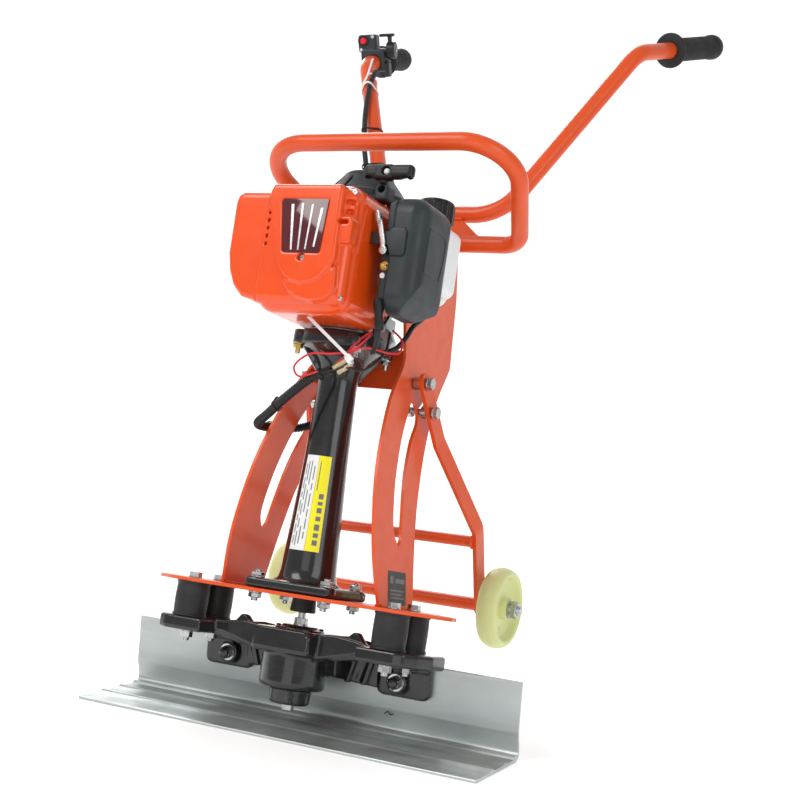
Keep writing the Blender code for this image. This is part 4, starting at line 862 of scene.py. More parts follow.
def wheels():
    r = 50.0
    profile = [(6.3, -14.0), (11.0, -14.0), (12.2, -13.0), (13.6, -9.6), (16.0, -8.9), (33.0, -8.9),
               (36.5, -9.6), (39.0, -11.6), (41.0, -12.9), (43.5, -13.1), (45.8, -12.2), (47.6, -9.8),
               (49.0, -6.6), (49.8, -3.0), (r, -0.3), (r, 0.3), (49.8, 3.0), (49.0, 6.6), (47.6, 9.8),
               (45.8, 12.2), (43.5, 13.1), (41.0, 12.9), (39.2, 11.6), (37.6, 7.6), (35.6, 4.6), (32.0, 3.6),
               (17.0, 3.6), (14.0, 4.6), (12.6, 12.6), (11.4, 13.8), (6.3, 13.9)]
    for side, hand in SIDES:
        axis = "X" if side > 0 else "-X"
        where = (side * 149.0, *AXLE)
        add(f"roller_{hand}", turned(profile, where, axis, 112, closed=True), NYLON, body=f"wheel_{hand}",
            stands_for=f"wheel_{hand}", sharp=60)
        for k in range(3):
            a = 2 * math.pi * k / 3 + 0.5
            spot = AXES[axis] @ Vector((25.0 * math.cos(a), 25.0 * math.sin(a), 3.6)) + Vector(where)
            add(f"roller_gate_{hand}_{k}", turned([(2.4, -0.2), (2.4, 0.35), (1.9, 0.6), (1.7, 0.3)], spot,
                    axis, 24), NYLON, body=f"wheel_{hand}")


# ---------------------------------------------------------------- engine
def soft_box(low, high, bevel, sides=5):
    return block(low, high, bevel, sides)


def engine():
    # painted aluminium crankcase under the cover
    fins = [block((-42.0, -30.0, z), (47.0, 36.0, z + 2.4), 0.8) for z in (486.0, 492.0, 498.0)]
    case = mould([soft_box((-40.0, -24.0, 447.5), (46.0, 26.0, 500.0), 6.0),
                  turned([(40.0, 446.5), (42.0, 448.0), (42.0, 470.0), (38.0, 476.0)], segments=56),
                  block((44.0, -22.0, 452.0), (62.0, 6.0, 470.0), 3.0),
                  prism([(58, 458), (68, 452), (74, 440), (70, 434), (54, 446)], -20.0, -10.0, "XZ",
                        bevel=1.0), soft_box((-30.0, 20.0, 455.0), (38.0, 38.0, 500.0), 5.0)] + fins,
                 [turned([(13.4, 440.0), (13.4, 520.0)], segments=32)], 1.2, 3)
    add("crankcase_skin", case, CAST_ALUMINIUM, stands_for="engine_crankcase", sharp=0)

    # moulded cover: main body, raised panel, second step, vents and hook box
    outer = [soft_box((-59.5, -123.0, 449.0), (59.5, 36.0, 596.4), 21.0, 6),
             soft_box((-59.5, -125.5, 456.0), (57.0, -100.0, 590.0), 12.0, 5)]
    panel = [(-43, 590), (43, 590), (45.5, 586), (47, 508), (43, 497), (32, 484), (20, 478), (8, 476.5),
             (-6, 480), (-16, 487), (-24, 497), (-45, 566), (-47, 582)]
    outer.append(prism(panel, -134.8, -112.0, "XZ", bevel=4.0, segments=4))
    low = [(-17, 480), (-8, 469), (4, 462), (24, 458.5), (38, 460.5), (47, 467), (50, 477), (48, 500),
           (30, 486), (8, 479), (-10, 483)]
    outer.append(prism(low, -131.0, -112.0, "XZ", bevel=3.0, segments=3))
    outer.append(prism([(36.5, 525), (58, 525), (59.6, 528), (59.6, 551), (57, 555.5), (38, 556)], -129.0,
                       -110.0, "XZ", bevel=2.0))
    cuts = [soft_box((-56.4, -119.0, 452.0), (56.4, 60.0, 593.6), 18.0, 4),
            block((-80.0, -9.6, 430.0), (80.0, 60.0, 620.0)), block((54.0, -47.0, 497.0), (64.0, 0.0, 539.5)),
            soft_box((-44.0, -30.0, 440.0), (48.0, 20.0, 470.0), 4.0)]
    for x0, x1, z0, z1 in ((46.2, 56.4, 570.0, 576.0), (47.2, 56.4, 559.0, 565.0)):
        cuts.append(block((x0, -140.0, z0), (x1, -117.0, z1), 1.2))
    cuts.append(block((44.0, -134.0, 546.5), (54.5, -120.6, 551.5), 1.0))
    cuts.append(turned([(4.4, 0.0), (4.4, 9.0)], (5.0, -126.6, 507.0), "-Y", 32))
    for k in range(6):
        cuts.append(block((-50.8, -140.0, 521.0 + 9.0 * k), (-47.0, -116.0, 526.0 + 9.0 * k), 0.9))
    badge = [(-28, 573), (30, 573), (31.5, 571), (29, 513), (27, 510.6), (-18, 510.6), (-20.4, 512.4),
             (-29.6, 569)]
    cuts.append(prism(badge, -140.0, -133.8, "XZ"))
    shell = mould(outer, cuts, 0.95, 3)
    add("cover_shell", shell, SHROUD, stands_for="engine_cover", sharp=0)
    add("cover_badge", prism([(x * 0.985 + 0.0, 542 + (z - 542) * 0.985) for x, z in badge], -135.1, -133.6,
                             "XZ", bevel=0.6), MAROON)
    rays = ((-16, 566, -9, 514, 3.6), (-3, 567, 0, 514, 3.0), (10, 566, 9, 515, 2.6), (22, 562, 19, 518, 3.4))
    for i, (x0, z0, x1, z1, w) in enumerate(rays):
        add(f"badge_ray_{i}", prism([(x0, z0), (x0 + w, z0), (x1 + w * 0.6, z1), (x1, z1)], -135.5, -134.7,
                "XZ"), SILVER)
    add("cover_screw", turned([(3.7, -1.0), (3.7, 1.6), (3.2, 2.2), (1.9, 2.2), (1.8, 0.9, "hex"),
            (0.5, 0.9)], (5.0, -128.2, 507.0), "-Y", 36), ZINC)
    # small screws round the cover's parting edge
    for i, (x, z) in enumerate(((-52.0, 585.0), (53.0, 585.0), (53.5, 466.0))):
        add(f"parting_screw_{i}", turned([(3.4, 0.0), (3.4, 1.4), (2.7, 2.1), (1.5, 2.1), (1.3, 1.0),
                (0.4, 1.0)], (x, -119.5, z), "-Y", 28), ZINC)

    # muffler guard on the left
    guard_outer = [(-40, 584.5), (-90, 584.5), (-97, 580), (-99.4, 571), (-98.6, 512), (-94, 492), (-86, 475),
                   (-74, 463), (-40, 455.0)]
    guard_inner = [(-30, 581.0), (-88, 581.0), (-94, 577), (-96.2, 570), (-95.2, 513), (-91, 494), (-84, 478),
                   (-73, 466), (-30, 458.4)]
    guard_cuts = [prism(guard_inner, -120.6, 40.0, "XZ"), block((-52.5, -140.0, 430.0), (-20.0, 60.0, 620.0)),
                  block((-61.0, -116.0, 430.0), (-20.0, 60.0, 620.0))]
    for k in range(5):
        z = 556.0 - 13.0 * k
        guard_cuts.append(block((-120.0, -104.0, z), (-90.0, -40.0, z + 5.0), 1.2))
    guard_cuts.append(turned([(8.0, 0.0), (8.0, 20.0)], (-79.0, -100.0, 556.0), "Y", 32))
    guard = mould([prism(guard_outer, -124.2, -8.4, "XZ", bevel=7.0, segments=5)], guard_cuts, 0.95, 3)
    add("guard_shell", guard, SHROUD, stands_for="muffler_guard", sharp=0)
    add("guard_seal", prism([(-93.0, 582.6), (-66.0, 585.0), (-66.0, 587.0), (-93.6, 584.6)], -113.0, -104.0,
                            "XZ", bevel=0.5), LIME)
    drum = mould([soft_box((-93.4, -103.4, 476.6), (-64.0, -34.6, 569.4), 8.0, 4)],
                 [soft_box((-91.6, -101.6, 478.4), (-65.4, -36.4, 567.6), 7.0, 3),
                  turned([(4.6, 0.0), (4.6, 30.0)], (-79.0, -90.0, 556.0), "-Y", 32)], 1.0, 2)
    add("muffler_drum", drum, STEEL, stands_for="muffler", sharp=0)


def starter():
    bell = [(58.0, 597.6), (58.0, 604.8), (57.4, 606.0), (54.6, 606.8), (53.6, 608.4), (53.4, 612.6),
            (52.0, 614.4), (48.6, 616.0), (46.4, 618.4), (43.0, 622.6), (39.0, 627.6), (34.6, 632.6),
            (31.4, 636.6), (29.6, 640.0), (27.6, 642.0), (24.0, 642.9), (0.4, 643.2)]
    vents = []
    for k in range(14):
        a = math.radians(360.0 * k / 14 + 8)
        if -75 < (math.degrees(a) + 180) % 360 - 180 < -15:
            continue
        slit = block((33.0, -1.7, 598.0), (50.0, 1.7, 660.0), 1.0)
        vents.append(moved(slit, Matrix.Rotation(a, 4, "Z")))
    skirt_cut = [block((-80.0, -80.0, 556.0), (80.0, -9.2, 597.4))]
    hollow = turned([(0.5, 590.0), (54.5, 590.0), (54.5, 600.0), (51.0, 603.0), (50.4, 610.6), (44.0, 616.4),
                     (30.0, 632.0), (26.6, 637.4), (23.6, 639.8), (0.5, 640.2)], segments=96)
    adds = [turned(bell, segments=96), turned([(49.9, 562.4), (49.9, 600.0)], segments=96),
            soft_box((36.4, -49.6, 598.6), (53.6, -28.6, 617.6), 3.0, 3)]
    cuts = [hollow, turned([(47.4, 550.0), (47.4, 604.0)], segments=72), *skirt_cut,
            turned([(4.6, 0.0), (4.6, 20.0)], (45.0, -36.0, 612.0), "-Y", 24)] + vents
    add("recoil_bell", mould(adds, cuts, 0.95, 2), PLASTIC, stands_for="recoil_housing",
        sharp=0)
    # decal on the dome and three bright screws on the flange
    add("dome_badge", turned([(22.0, 0.0), (22.0, 0.35), (21.6, 0.55), (1.0, 0.6)], (0.0, 0.0, 642.9),
                             segments=72), NAVY)
    for i, (x0, y0, x1, y1, w) in enumerate(((-13, -6, 14, 3, 2.8), (-11, 4, 11, 9, 1.6),
            (-8, -12, 12, -9, 1.6))):
        strip = prism([(x0, y0), (x1, y1), (x1, y1 + w), (x0, y0 + w)], 643.35, 643.7)
        add(f"dome_stripe_{i}", strip, SILVER)
    for i, a in enumerate((200, 90, 20, 262)):
        r = math.radians(a)
        add(f"flange_screw_{i}", turned([(4.4, 0.0), (4.4, 0.9), (3.3, 1.1), (3.2, 3.6), (2.4, 4.2),
                (1.4, 4.2), (1.3, 2.4, "hex"), (0.4, 2.4)], (55.0 * math.cos(r) * 0.985,
                55.0 * math.sin(r) * 0.985, 605.6), segments=32), ZINC)
    # T handle with finger hollows and the knot in its pocket
    handle = [soft_box((20.4, -54.6, 623.4), (83.6, -41.4, 640.6), 5.6, 5),
              soft_box((34.0, -54.9, 622.2), (58.0, -41.2, 640.8), 4.0, 4),
              turned([(4.2, 618.4), (4.6, 620.0), (6.4, 624.5)], (45.0, -46.5, 0), segments=28)]
    hollows = [turned([(7.0, 0.0), (7.0, 30.0)], (x, -35.0, 619.4), "-Y", 32) for x in (28.0, 72.0)]
    hollows += [turned([(5.2, 0.0), (5.6, 9.0)], (50.0, -49.2, 632.0), "-Y", 32)]
    add("starter_handle", mould(handle, hollows, 0.7, 4), BLACK_PLASTIC, body="starter_grip",
        stands_for="starter_grip", sharp=0)
    knot = turned([(1.2, 0.0), (3.3, 0.8), (3.9, 2.4), (3.4, 4.0), (2.2, 5.0), (0.6, 5.4)],
                  (50.0, -48.4, 632.0), "-Y", 20)
    add("starter_knot", knot, WHITE, body="starter_grip")


def air_cleaner():
    corner = [(123, 508), (121, 494), (116.5, 481), (109, 470), (101, 462.5), (101, 455), (135, 455),
              (135, 508)]
    rear = [(6, 480), (-6, 474), (-20, 466), (-30, 459), (-30, 450), (20, 450), (20, 480)]
    peak = [(-14, 597), (-6, 592), (0, 584), (4.5, 570), (20, 570), (20, 610), (-14, 610)]
    cover = mould([soft_box((60.0, -81.6, 461.6), (121.8, 3.6, 595.6), 20.0, 7)],
                  [block((50.0, -100.0, 440.0), (84.7, 40.0, 620.0)),
                   soft_box((50.0, -78.8, 474.0), (116.6, -4.0, 586.6), 16.0, 5),
                   prism(corner, -95.0, 30.0, "XZ"), prism(rear, 60.0, 140.0, "YZ"),
                   prism(peak, 60.0, 140.0, "YZ")], 0.95, 6)
    add("cleaner_cover", cover, PLASTIC, stands_for="air_cleaner_cover", sharp=0)
    line = [Vector((121.75, y, z)) for y, z in ((-58, 562), (-63, 558), (-64, 518), (-60, 512), (-30, 511),
            (-24, 516), (-19, 548), (-22, 559), (-32, 563), (-58, 562))]
    add("cleaner_outline", pipe(smooth_line(line, 5), 0.7, segments=10), PLASTIC)
    base = mould([prism([(74.6, 474), (80, 470.4), (83.8, 470.4), (83.8, 589.6), (80, 589.6), (74.6, 586)],
                        -77.6, -0.4, "XZ", bevel=1.2)], [turned([(9.0, 0.0), (9.0, 20.0)],
            (68.0, -29.0, 518.0), "X", 32)], 0.95, 2)
    add("cleaner_base", base, PLASTIC, stands_for="air_cleaner_base", sharp=0)
    latch = [(60.4, 537.6), (84, 537.6), (86, 525), (101, 525), (104, 528.5), (104, 553), (101, 557),
             (86, 557), (84, 551), (60.4, 551)]
    add("cleaner_latch", prism(latch, -84.6, -80.6, "XZ", bevel=1.2, segments=3), PLASTIC)
    add("latch_nut", turned([(5.0, 0.0), (5.0, 0.8)] + hexagon(3.7, 0.8, 4.0)
                            + [(2.0, 4.0), (2.0, 5.6), (1.4, 6.2)], (79.4, -77.6, 514.0), "-Y", 36), BRASS)
    add("base_screw", turned([(3.2, 0.0), (3.2, 1.4), (2.6, 2.2), (1.4, 2.2), (1.2, 1.2), (0.4, 1.2)],
                             (79.0, -77.6, 503.0), "-Y", 32), WHITE)
    lever = [(75.6, 531.5), (82.2, 529.6), (80.6, 541.0), (76.0, 556.0), (70.4, 572.6), (67.8, 575.2),
             (64.4, 574.6), (63.4, 571.6), (69.8, 553.0), (74.4, 539.0)]
    arm = mould([prism(lever, -87.8, -85.5, "XZ", bevel=0.7), turned([(4.6, 0.0), (5.2, 0.7), (5.2, 8.6),
            (4.4, 9.6)], (79.0, -78.5, 530.0), "-Y", 36), prism([(63.4, 571.4), (66.6, 561.5), (72.8, 563.5),
            (70.0, 573.4), (67.6, 575.2), (64.8, 574.6)], -90.4, -84.6, "XZ", bevel=1.4)], [], 0.55, 3)
    add("choke_arm", arm, ZINC, body="choke_lever", stands_for="choke_lever", sharp=0)
    carb = mould([soft_box((50.6, -43.6, 500.6), (73.6, -14.4, 535.6), 2.4, 3),
                  turned([(11.5, 0.0), (11.5, 22.0)], (51.4, -29.0, 518.0), "X", 36),
                  turned([(5.0, 0.0), (4.4, 7.0)], (62.0, -42.0, 508.0), "-Y", 24)], [], 0.8, 2)
    add("carburettor_body", carb, CAST_ALUMINIUM, stands_for="carburettor", sharp=0)


def tank():
    # the tank follows its CAD shape, skinned with moulded corners
    body = [soft_box((-83.6, 58.4, 506.4), (83.6, 93.6, 595.6), 13.0, 6),
            soft_box((46.8, 25.4, 512.4), (97.7, 79.7, 595.3), 12.0, 6),
            turned([(17.0, 590.0), (17.0, 605.6)], (70.0, 47.0, 0), segments=48)]
    cuts = [turned([(13.7, 592.0), (13.7, 612.0)], (70.0, 47.0, 0), segments=48),
            soft_box((-80.6, 61.4, 509.4), (80.6, 90.6, 592.6), 11.0, 5),
            soft_box((49.8, 28.4, 515.4), (94.7, 76.7, 592.3), 10.0, 5)]
    add("fuel_tank_skin", mould(body, cuts, 1.05, 4), TANK, stands_for="fuel_tank",
        sharp=0)
    cap = [(17.8, 598.7), (21.6, 598.7), (22.4, 599.6), (22.4, 622.0), (21.4, 625.6), (18.0, 627.6),
           (1.0, 628.2), (1.0, 624.6), (13.0, 624.4), (13.3, 611.0), (13.3, 606.8), (17.8, 606.8)]
    lugs = []
    for k in range(16):
        lugs.append(moved(block((20.6, -1.7, 600.0), (23.1, 1.7, 623.0), 0.8),
                          Matrix.Rotation(2 * math.pi * k / 16, 4, "Z")))
    place = Matrix.Translation((70.0, 47.0, 0.0))
    shapes = [moved(turned(cap, segments=72, closed=True), place)] + [moved(l, place) for l in lugs]
    lobes = [moved(moved(block((6.0, -2.4, 626.4), (19.0, 2.4, 628.4), 0.9), Matrix.Rotation(a, 4, "Z")),
                   place) for a in (0.5, 0.5 + math.pi)]
    add("fuel_cap_skin", mould(shapes + lobes, [], 0.75, 2), BLACK_PLASTIC, body="fuel_cap",
        stands_for="fuel_cap", sharp=0)
    # two straps that hold the tank
    for i, x in enumerate((-58.0, 22.0)):
        line = [Vector(p) for p in ((x, 55.0, 590.0), (x, 57.6, 596.4), (x, 64.0, 596.9), (x, 86.0, 596.9),
                (x, 93.0, 594.0), (x, 94.2, 584.0), (x, 94.3, 520.0))]
        normals = [Vector((0, -1, 0)), Vector((0, -1, 1)), Vector((0, 0, 1)), Vector((0, 0, 1)),
                   Vector((0, 1, 1)), Vector((0, 1, 0)), Vector((0, 1, 0))]
        add(f"tank_strap_{i}", ribbon(line, normals, 12.0, 1.2), BLACK_PLASTIC, bevel=0.3)


# ---------------------------------------------------------------- hand controls
def controls():
    along = mirrored(GRIP_WAY)
    right = Vector((1, 0, 0))
    right = (right - along * right.dot(along)).normalized()
    up = right.cross(along)
    middle = mirrored(ARM_TOP) + along * 50.0
    basis = Matrix((right, along, up)).transposed().to_4x4()
    place = Matrix.Translation(middle) @ basis

    def at(shape):
        return moved(shape, place)
    adds = [at(soft_box((-18.6, -15.6, -13.6), (17.6, 15.6, 20.6), 4.0, 4)),
            at(soft_box((-22.6, -13.6, 15.4), (5.6, 11.6, 41.6), 4.4, 4)),
            at(soft_box((14.8, -7.6, -21.6), (22.6, 7.6, 3.6), 1.6, 2))]
    cuts = [at(turned([(11.5, -30.0), (11.5, 30.0)], (0, 0, 0), "Y", 48)),
            at(block((10.0, -20.0, -0.8), (30.0, 20.0, 0.8)))]
    cuts.append(at(turned([(6.4, 0.0), (6.4, 5.0)], (-13.5, -12.0, 32.5), AXES["-Y"], 32)))
    add("switch_box", mould(adds, cuts, 0.8, 3), PLASTIC, stands_for="switch_housing",
        sharp=0)
    button = turned([(5.0, 0.0), (5.0, 5.4), (4.6, 6.6), (3.2, 7.3), (0.4, 7.5)], (-13.5, -9.6, 32.5), "-Y",
                    40)
    add("stop_knob", at(button), RED, body="stop_button", stands_for="stop_button")
    ring = turned([(5.4, 0.0), (8.4, 0.0), (8.4, 1.2), (7.8, 1.8), (5.8, 1.8), (5.4, 1.2)],
                  (-13.5, -13.4, 32.5), "-Y", 40, closed=True)
    add("stop_bezel", at(ring), BLACK_PLASTIC)
    for i, (x, z) in enumerate(((-17.5, 20.0), (0.5, 38.0))):
        add(f"switch_screw_{i}", at(turned([(2.6, 0.0), (2.6, 0.8), (2.1, 1.3), (1.2, 1.3), (1.0, 0.5),
                (0.3, 0.5)], (x, -13.4, z), "-Y", 24)), ZINC)
    lever = [at(turned([(12.3, -6.3), (12.5, -5.6), (12.5, 5.6), (12.3, 6.3)], (26.0, 0.0, 17.0), "X", 48)),
             at(soft_box((8.4, -5.8, 37.2), (30.8, 5.8, 41.8), 1.8, 3)),
             at(soft_box((21.2, -4.8, 19.2), (26.4, 4.8, 39.8), 1.4, 3))]
    add("throttle_blade", mould(lever, [], 0.7, 4), BLACK_PLASTIC, body="throttle_lever",
        stands_for="throttle_lever", sharp=0)
    add("throttle_pin", at(turned([(2.9, -0.2), (2.9, 0.6), (2.2, 1.2), (0.4, 1.3)], (32.6, 0.0, 17.0), "X",
            24)), ZINC, body="throttle_lever")


def harness():
    def ridged(place, _):
        return 0.62 * math.cos(place * 0.55 * 2 * math.pi / 3.3)
    loop = [Vector(p) for p in ((26, -66, 396), (2, -69, 383), (-30, -60, 362), (-62, -42, 343),
            (-86, -22, 334), (-94, 2, 333), (-90, 28, 336), (-73, 48, 340), (-48, 51, 350), (-26, 42, 368),
            (-14, 40, 394), (-14, 55.6, 401))]
    path = evenly(smooth_line(loop, 14), 0.55)
    add("harness_sleeve", pipe(path, 4.95, 3.4, 28, relief=ridged), BLACK_PLASTIC,
        stands_for="harness_conduit", sharp=0)
    span = mirrored(ARM_TOP) - mirrored(ARM_FOOT)

    def beside(share, x, y, z):
        return mirrored(ARM_FOOT) + span * share + Vector((x, y, z))
    line = [beside(0.975, 22, -4, -14), beside(0.92, 18, -12, -2), beside(0.8, 8, -17, 0),
            beside(0.6, -4, -18, 0), beside(0.4, -11, -17, 0), beside(0.2, -14, -17, 0),
            Vector((-116, 172, 664)), Vector((-98, 132, 632)), Vector((-72, 96, 615)), Vector((-50, 70, 604))]
    path = evenly(smooth_line(line, 14), 0.8)

    def woven(place, angle):
        u, v = place * 0.8 * 2 * math.pi / 3.6, angle * 8
        return 0.17 * (abs(math.sin(u + v / 2)) + abs(math.sin(u - v / 2))) - 0.15
    add("control_sleeve", pipe(path, 3.5, 2.3, 32, relief=woven), BRAID, stands_for="control_conduit",
        sharp=0)
    return path


def small_wires():
    def wire(name, points, radius, material):
        path = evenly(smooth_line([Vector(p) for p in points], 12), 1.2)
        return add(name, pipe(path, radius, segments=16), material, sharp=0)
    wire("wire_red_0", ((14, -74, 391), (-8, -76, 384), (-16, -76, 396), (2, -77, 410), (30, -77, 412),
                        (52, -76, 416), (66, -74, 428), (71, -68, 440), (64, -66, 438), (52, -70, 424),
                        (44, -73, 410), (36, -74, 402)), 1.2, RED_WIRE)
    wire("wire_red_1", ((50, -74, 412), (62, -75, 420), (76, -70, 422), (90, -60, 420), (98, -46, 424),
                        (92, -34, 440), (76, -28, 452)), 1.2, RED_WIRE)
    wire("wire_black_0", ((26, -66, 397), (44, -68, 411), (62, -62, 432), (72, -48, 452), (74, -36, 470)),
         1.5, BLACK_WIRE)
    wire("wire_black_1", ((-4, -66, 382), (18, -72, 390), (50, -74, 398), (64, -70, 396), (74, -62, 404),
                          (80, -46, 424), (76, -34, 448)), 1.5, BLACK_WIRE)
    boot = [(3.2, 0.0), (4.6, 1.0), (5.4, 4.0), (5.2, 12.0), (4.4, 20.0), (5.0, 26.0), (5.6, 31.0),
            (5.0, 35.0), (3.2, 36.0)]
    way = Vector((5.0, 4.0, -34.0)).normalized()
    add("plug_boot", turned(boot, (80.0, -82.0, 476.0), facing(way), 40), BLACK_PLASTIC)
    wire("plug_lead", ((84, -78.5, 444), (82, -74, 430), (74, -64, 420), (66, -50, 424), (58, -38, 444)), 3.3,
         BLACK_WIRE)
    wire("fuel_line", ((92, 34, 515), (93, 28, 494), (92, 8, 474), (92, -12, 460), (91, -24, 444),
                       (84, -32, 430), (70, -38, 424), (62, -44, 434), (60, -36, 462), (62, -29, 502)), 3.0,
         BLACK_PLASTIC)
    # loose white tie over the wires, two crimp sleeves beside it
    line = [Vector(p) for p in ((-21, -97, 469), (2, -91, 449), (26, -85, 430), (50, -78, 411))]
    line = evenly(smooth_line(line, 8), 2.0)
    add("loose_tie", ribbon(line, [Vector((0.3, -1, 0.2))] * len(line), 3.6, 1.2), WHITE, bevel=0.3)
    add("loose_tie_head", moved(block((-4.0, -2.6, -3.4), (4.0, 2.6, 3.4), 0.9),
            Matrix.Translation((53.0, -77.0, 408.5)) @ Matrix.Rotation(0.75, 4, "Y")), WHITE)
    hoop = [(5.4, -1.8), (6.5, -1.8), (6.5, 1.8), (5.4, 1.8)]
    add("loose_tie_hoop", turned(hoop, (51.0, -73.5, 407.0), facing((0.8, 0.0, 0.6)), 40, closed=True), WHITE)
    for i, (spot, way) in enumerate((((33.0, -74.5, 396.0), (0.82, 0.02, 0.56)),
            ((39.0, -73.0, 391.5), (0.82, 0.0, 0.56)))):
        add(f"crimp_sleeve_{i}", turned([(1.4, 0.0), (2.6, 0.6), (2.6, 19.4), (1.4, 20.0)], spot, facing(way),
                24), AMBER)

    def hugging(name, centre, way, circles, tilt, material):
        """Tie pulled tight round several round sections that cross one plane."""
        way = Vector(way).normalized()
        u = Vector((1, 0, 0))
        u = (u - way * u.dot(way)).normalized()
        v = way.cross(u)
        dots = []
        for offset, reach in circles:
            at = Vector(offset)
            middle = Vector((at.dot(u), at.dot(v)))
            dots += [middle + Vector((math.cos(a), math.sin(a))) * (reach + 0.25)
                     for a in (2 * math.pi * i / 40 for i in range(40))]
        dots.sort(key=lambda p: (p.x, p.y))
        hull = []
        for order in (dots, dots[::-1]):
            part = []
            for p in order:
                while len(part) > 1 and (part[-1] - part[-2]).cross(p - part[-1]) <= 1e-9:
                    part.pop()
                part.append(p)
            hull += part[:-1]
        middle = sum(hull, Vector((0.0, 0.0))) / len(hull)
        path = evenly([Vector((p.x, p.y, 0)) for p in [*hull, hull[0]]], 1.2)
        line = [Vector(centre) + u * p.x + v * p.y + way * tilt * (p.x - middle.x) for p in path]
        normals = [u * (p.x - middle.x) + v * (p.y - middle.y) for p in path]
        add(f"{name}_band", ribbon(line, normals, 3.2, 1.1), material, bevel=0.25)
        low = min(range(len(path)), key=lambda i: path[i].y * -v.y + path[i].x * 0.4)
        turn = Matrix((u, v, way)).transposed().to_4x4()
        head = block((-2.8, -2.4, -2.4), (2.8, 2.4, 2.4), 0.7)
        add(f"{name}_head", moved(head, Matrix.Translation(line[low]
                + normals[low].normalized() * 2.4) @ turn), material)

    left_way = mirrored(ARM_TOP) - mirrored(ARM_FOOT)
    foot = mirrored(ARM_FOOT)
    for i, (share, side, tilt, material) in enumerate(((0.83, 9.4, 0.8, WHITE), (0.80, 8.0, -0.8, WHITE),
            (0.50, -7.6, 0.1, BLACK_PLASTIC), (0.27, -13.0, 0.1, BLACK_PLASTIC))):
        hugging(f"arm_tie_{i}", foot + left_way * share, left_way,
                (((0, 0, 0), 11.0), ((side, -17.0, 0), 3.7)), tilt, material)
    for i, (spot, way) in enumerate((((14, -68.0, 389.3), (-0.85, -0.1, -0.45)),
            ((-46, -51.6, 352.0), (-0.75, 0.4, -0.4)), ((-92.4, 15, 334.3), (0.1, 0.98, 0.1)))):
        hugging(f"loop_tie_{i}", spot, way, (((0, 0, 0), 5.7),), 0.0, BLACK_PLASTIC)
    # slim tie from the conduit up to the throttle
    line = [Vector(p) for p in ((-184, 262, 868), (-182, 268, 884), (-184, 276, 902), (-189, 288, 918))]
    add("upper_tie", ribbon(evenly(smooth_line(line, 8), 2.0), [Vector((0.4, -1, 0))] * 60, 2.6, 1.0), WHITE,
        bevel=0.2)


# ---------------------------------------------------------------- pieces kept from the CAD
def dress_cad():
    looks = {"raw_aluminium": ALUMINIUM, "black_casting": CASTING, "zinc_steel": ZINC, "bright_steel": STEEL,
             "black_rubber": RUBBER, "orange_paint": PAINT, "orange_shroud": SHROUD, "grey_plastic": PLASTIC,
             "red_plastic": RED, "nylon": NYLON, "cast_aluminium": CAST_ALUMINIUM, "tank_plastic": TANK,
             "white_ceramic": WHITE}
    slots = {part["node"]: part.get("material_slot") or part.get("slot")
             for part in frame["record"]["subparts"]}
    for name, node in frame["nodes"].items():
        node.data.materials.clear()
        node.data.materials.append(looks[slots[name]])
        layer = node.data.attributes.get("custom_normal")
        if layer:
            node.data.attributes.remove(layer)
        node.data.shade_smooth()
        weld = node.modifiers.new("weld", "WELD")
        weld.merge_threshold = 0.00001
        soften(node, 0.0006 if "plate" in name or name == "bar_web" else 0.0004)


# ---------------------------------------------------------------- studio
CAMERA_PLACE, CAMERA_LENS = (0.8003, -1.3766, 0.3916), 63.0
CAMERA_TURN, CAMERA_TILT, CAMERA_ROLL = 0.4656, 0.0055, 0.0794
PAPER_BACK, PAPER_CURVE, PAPER_SPAN = 3.2, 1.6, 9.0
# name, place, aim, power in watts, size, colour
LAMPS = (("key", (-1.1, -2.0, 2.5), (0.0, 0.0, 0.5), 44.0, 1.7, (1.0, 0.99, 0.97)),
         ("fill", (2.6, -1.3, 1.3), (0.0, 0.0, 0.45), 17.0, 1.6, (0.97, 0.98, 1.0)),
         ("rim", (-1.6, 1.9, 2.2), (0.0, 0.1, 0.6), 26.0, 1.2, (1.0, 1.0, 1.0)),
         ("low", (0.5, -2.4, 0.35), (0.0, 0.0, 0.3), 6.0, 1.4, (1.0, 1.0, 1.0)))


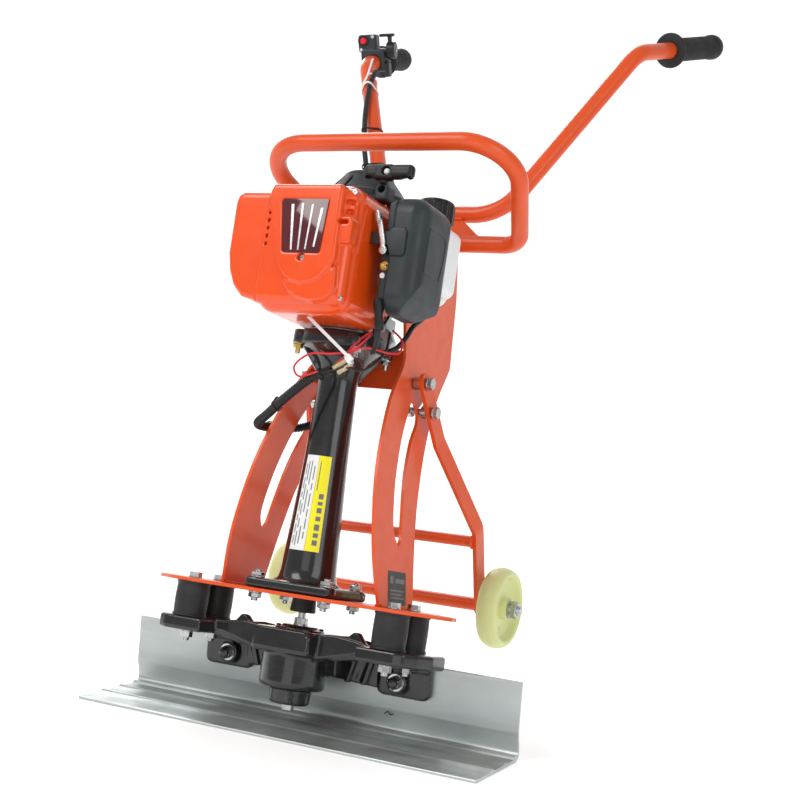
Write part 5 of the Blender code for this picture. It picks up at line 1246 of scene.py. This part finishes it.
def studio():
    scene = bpy.context.scene
    world = bpy.data.worlds.new("studio")
    scene.world = world
    world.use_nodes = True
    back = world.node_tree.nodes["Background"]
    back.inputs["Color"].default_value = (0.95, 0.96, 0.97, 1.0)
    back.inputs["Strength"].default_value = 0.46
    floor = bmesh.new()
    rows = []
    profile = [(-PAPER_SPAN, 0.0), (PAPER_BACK - PAPER_CURVE, 0.0)]
    profile += [(PAPER_BACK - PAPER_CURVE * (1.0 - math.sin(a)), PAPER_CURVE * (1.0 - math.cos(a)))
                for a in (math.pi / 2 * i / 24 for i in range(1, 25))]
    profile.append((PAPER_BACK, PAPER_SPAN))
    turn = Matrix.Rotation(CAMERA_TURN, 3, "Z")
    for y, z in profile:
        rows.append([floor.verts.new(turn @ Vector((x, y, z - 0.0003))) for x in (-PAPER_SPAN, PAPER_SPAN)])
    for low, high in zip(rows, rows[1:]):
        floor.faces.new((low[0], low[1], high[1], high[0]))
    mesh = bpy.data.meshes.new("studio_floor")
    floor.to_mesh(mesh)
    floor.free()
    mesh.shade_smooth()
    paper = finish("studio_paper", (0.94, 0.94, 0.94), 0.8, tone=0.005, grain=0.0)
    shader = paper.node_tree.nodes["Principled BSDF"]
    shader.inputs["Emission Color"].default_value = (1.0, 1.0, 1.0, 1.0)
    shader.inputs["Emission Strength"].default_value = 0.3
    mesh.materials.append(paper)
    sheet = bpy.data.objects.new("studio_floor", mesh)
    scene.collection.objects.link(sheet)
    for name, spot, aim, power, size, shade in LAMPS:
        data = bpy.data.lights.new(name, "AREA")
        data.energy, data.size, data.color = power, size, shade
        lamp = bpy.data.objects.new(name, data)
        lamp.location = spot
        lamp.rotation_euler = (Vector(spot) - Vector(aim)).to_track_quat("Z", "Y").to_euler()
        scene.collection.objects.link(lamp)
    lens = bpy.data.cameras.new("camera")
    lens.lens, lens.sensor_width, lens.clip_start, lens.clip_end = CAMERA_LENS, 36.0, 0.05, 60.0
    camera = bpy.data.objects.new("camera", lens)
    az, el, roll = CAMERA_TURN, CAMERA_TILT, CAMERA_ROLL
    ahead = Vector((-math.sin(az) * math.cos(el), math.cos(az) * math.cos(el), -math.sin(el)))
    side = Vector((math.cos(az), math.sin(az), 0.0))
    rise = side.cross(ahead)
    right = math.cos(roll) * side + math.sin(roll) * rise
    top = -math.sin(roll) * side + math.cos(roll) * rise
    turn = Matrix((right, top, -ahead)).transposed().to_4x4()
    camera.matrix_world = Matrix.Translation(CAMERA_PLACE) @ turn
    scene.collection.objects.link(camera)
    scene.camera = camera
    scene.view_settings.view_transform = "Standard"


blade()
exciter()
mounts()
foot_bolts()
column()
labels()
tubes()
grips()
wheel_frame()
wheels()
engine()
starter()
air_cleaner()
tank()
controls()
harness()
small_wires()
dress_cad()
studio()
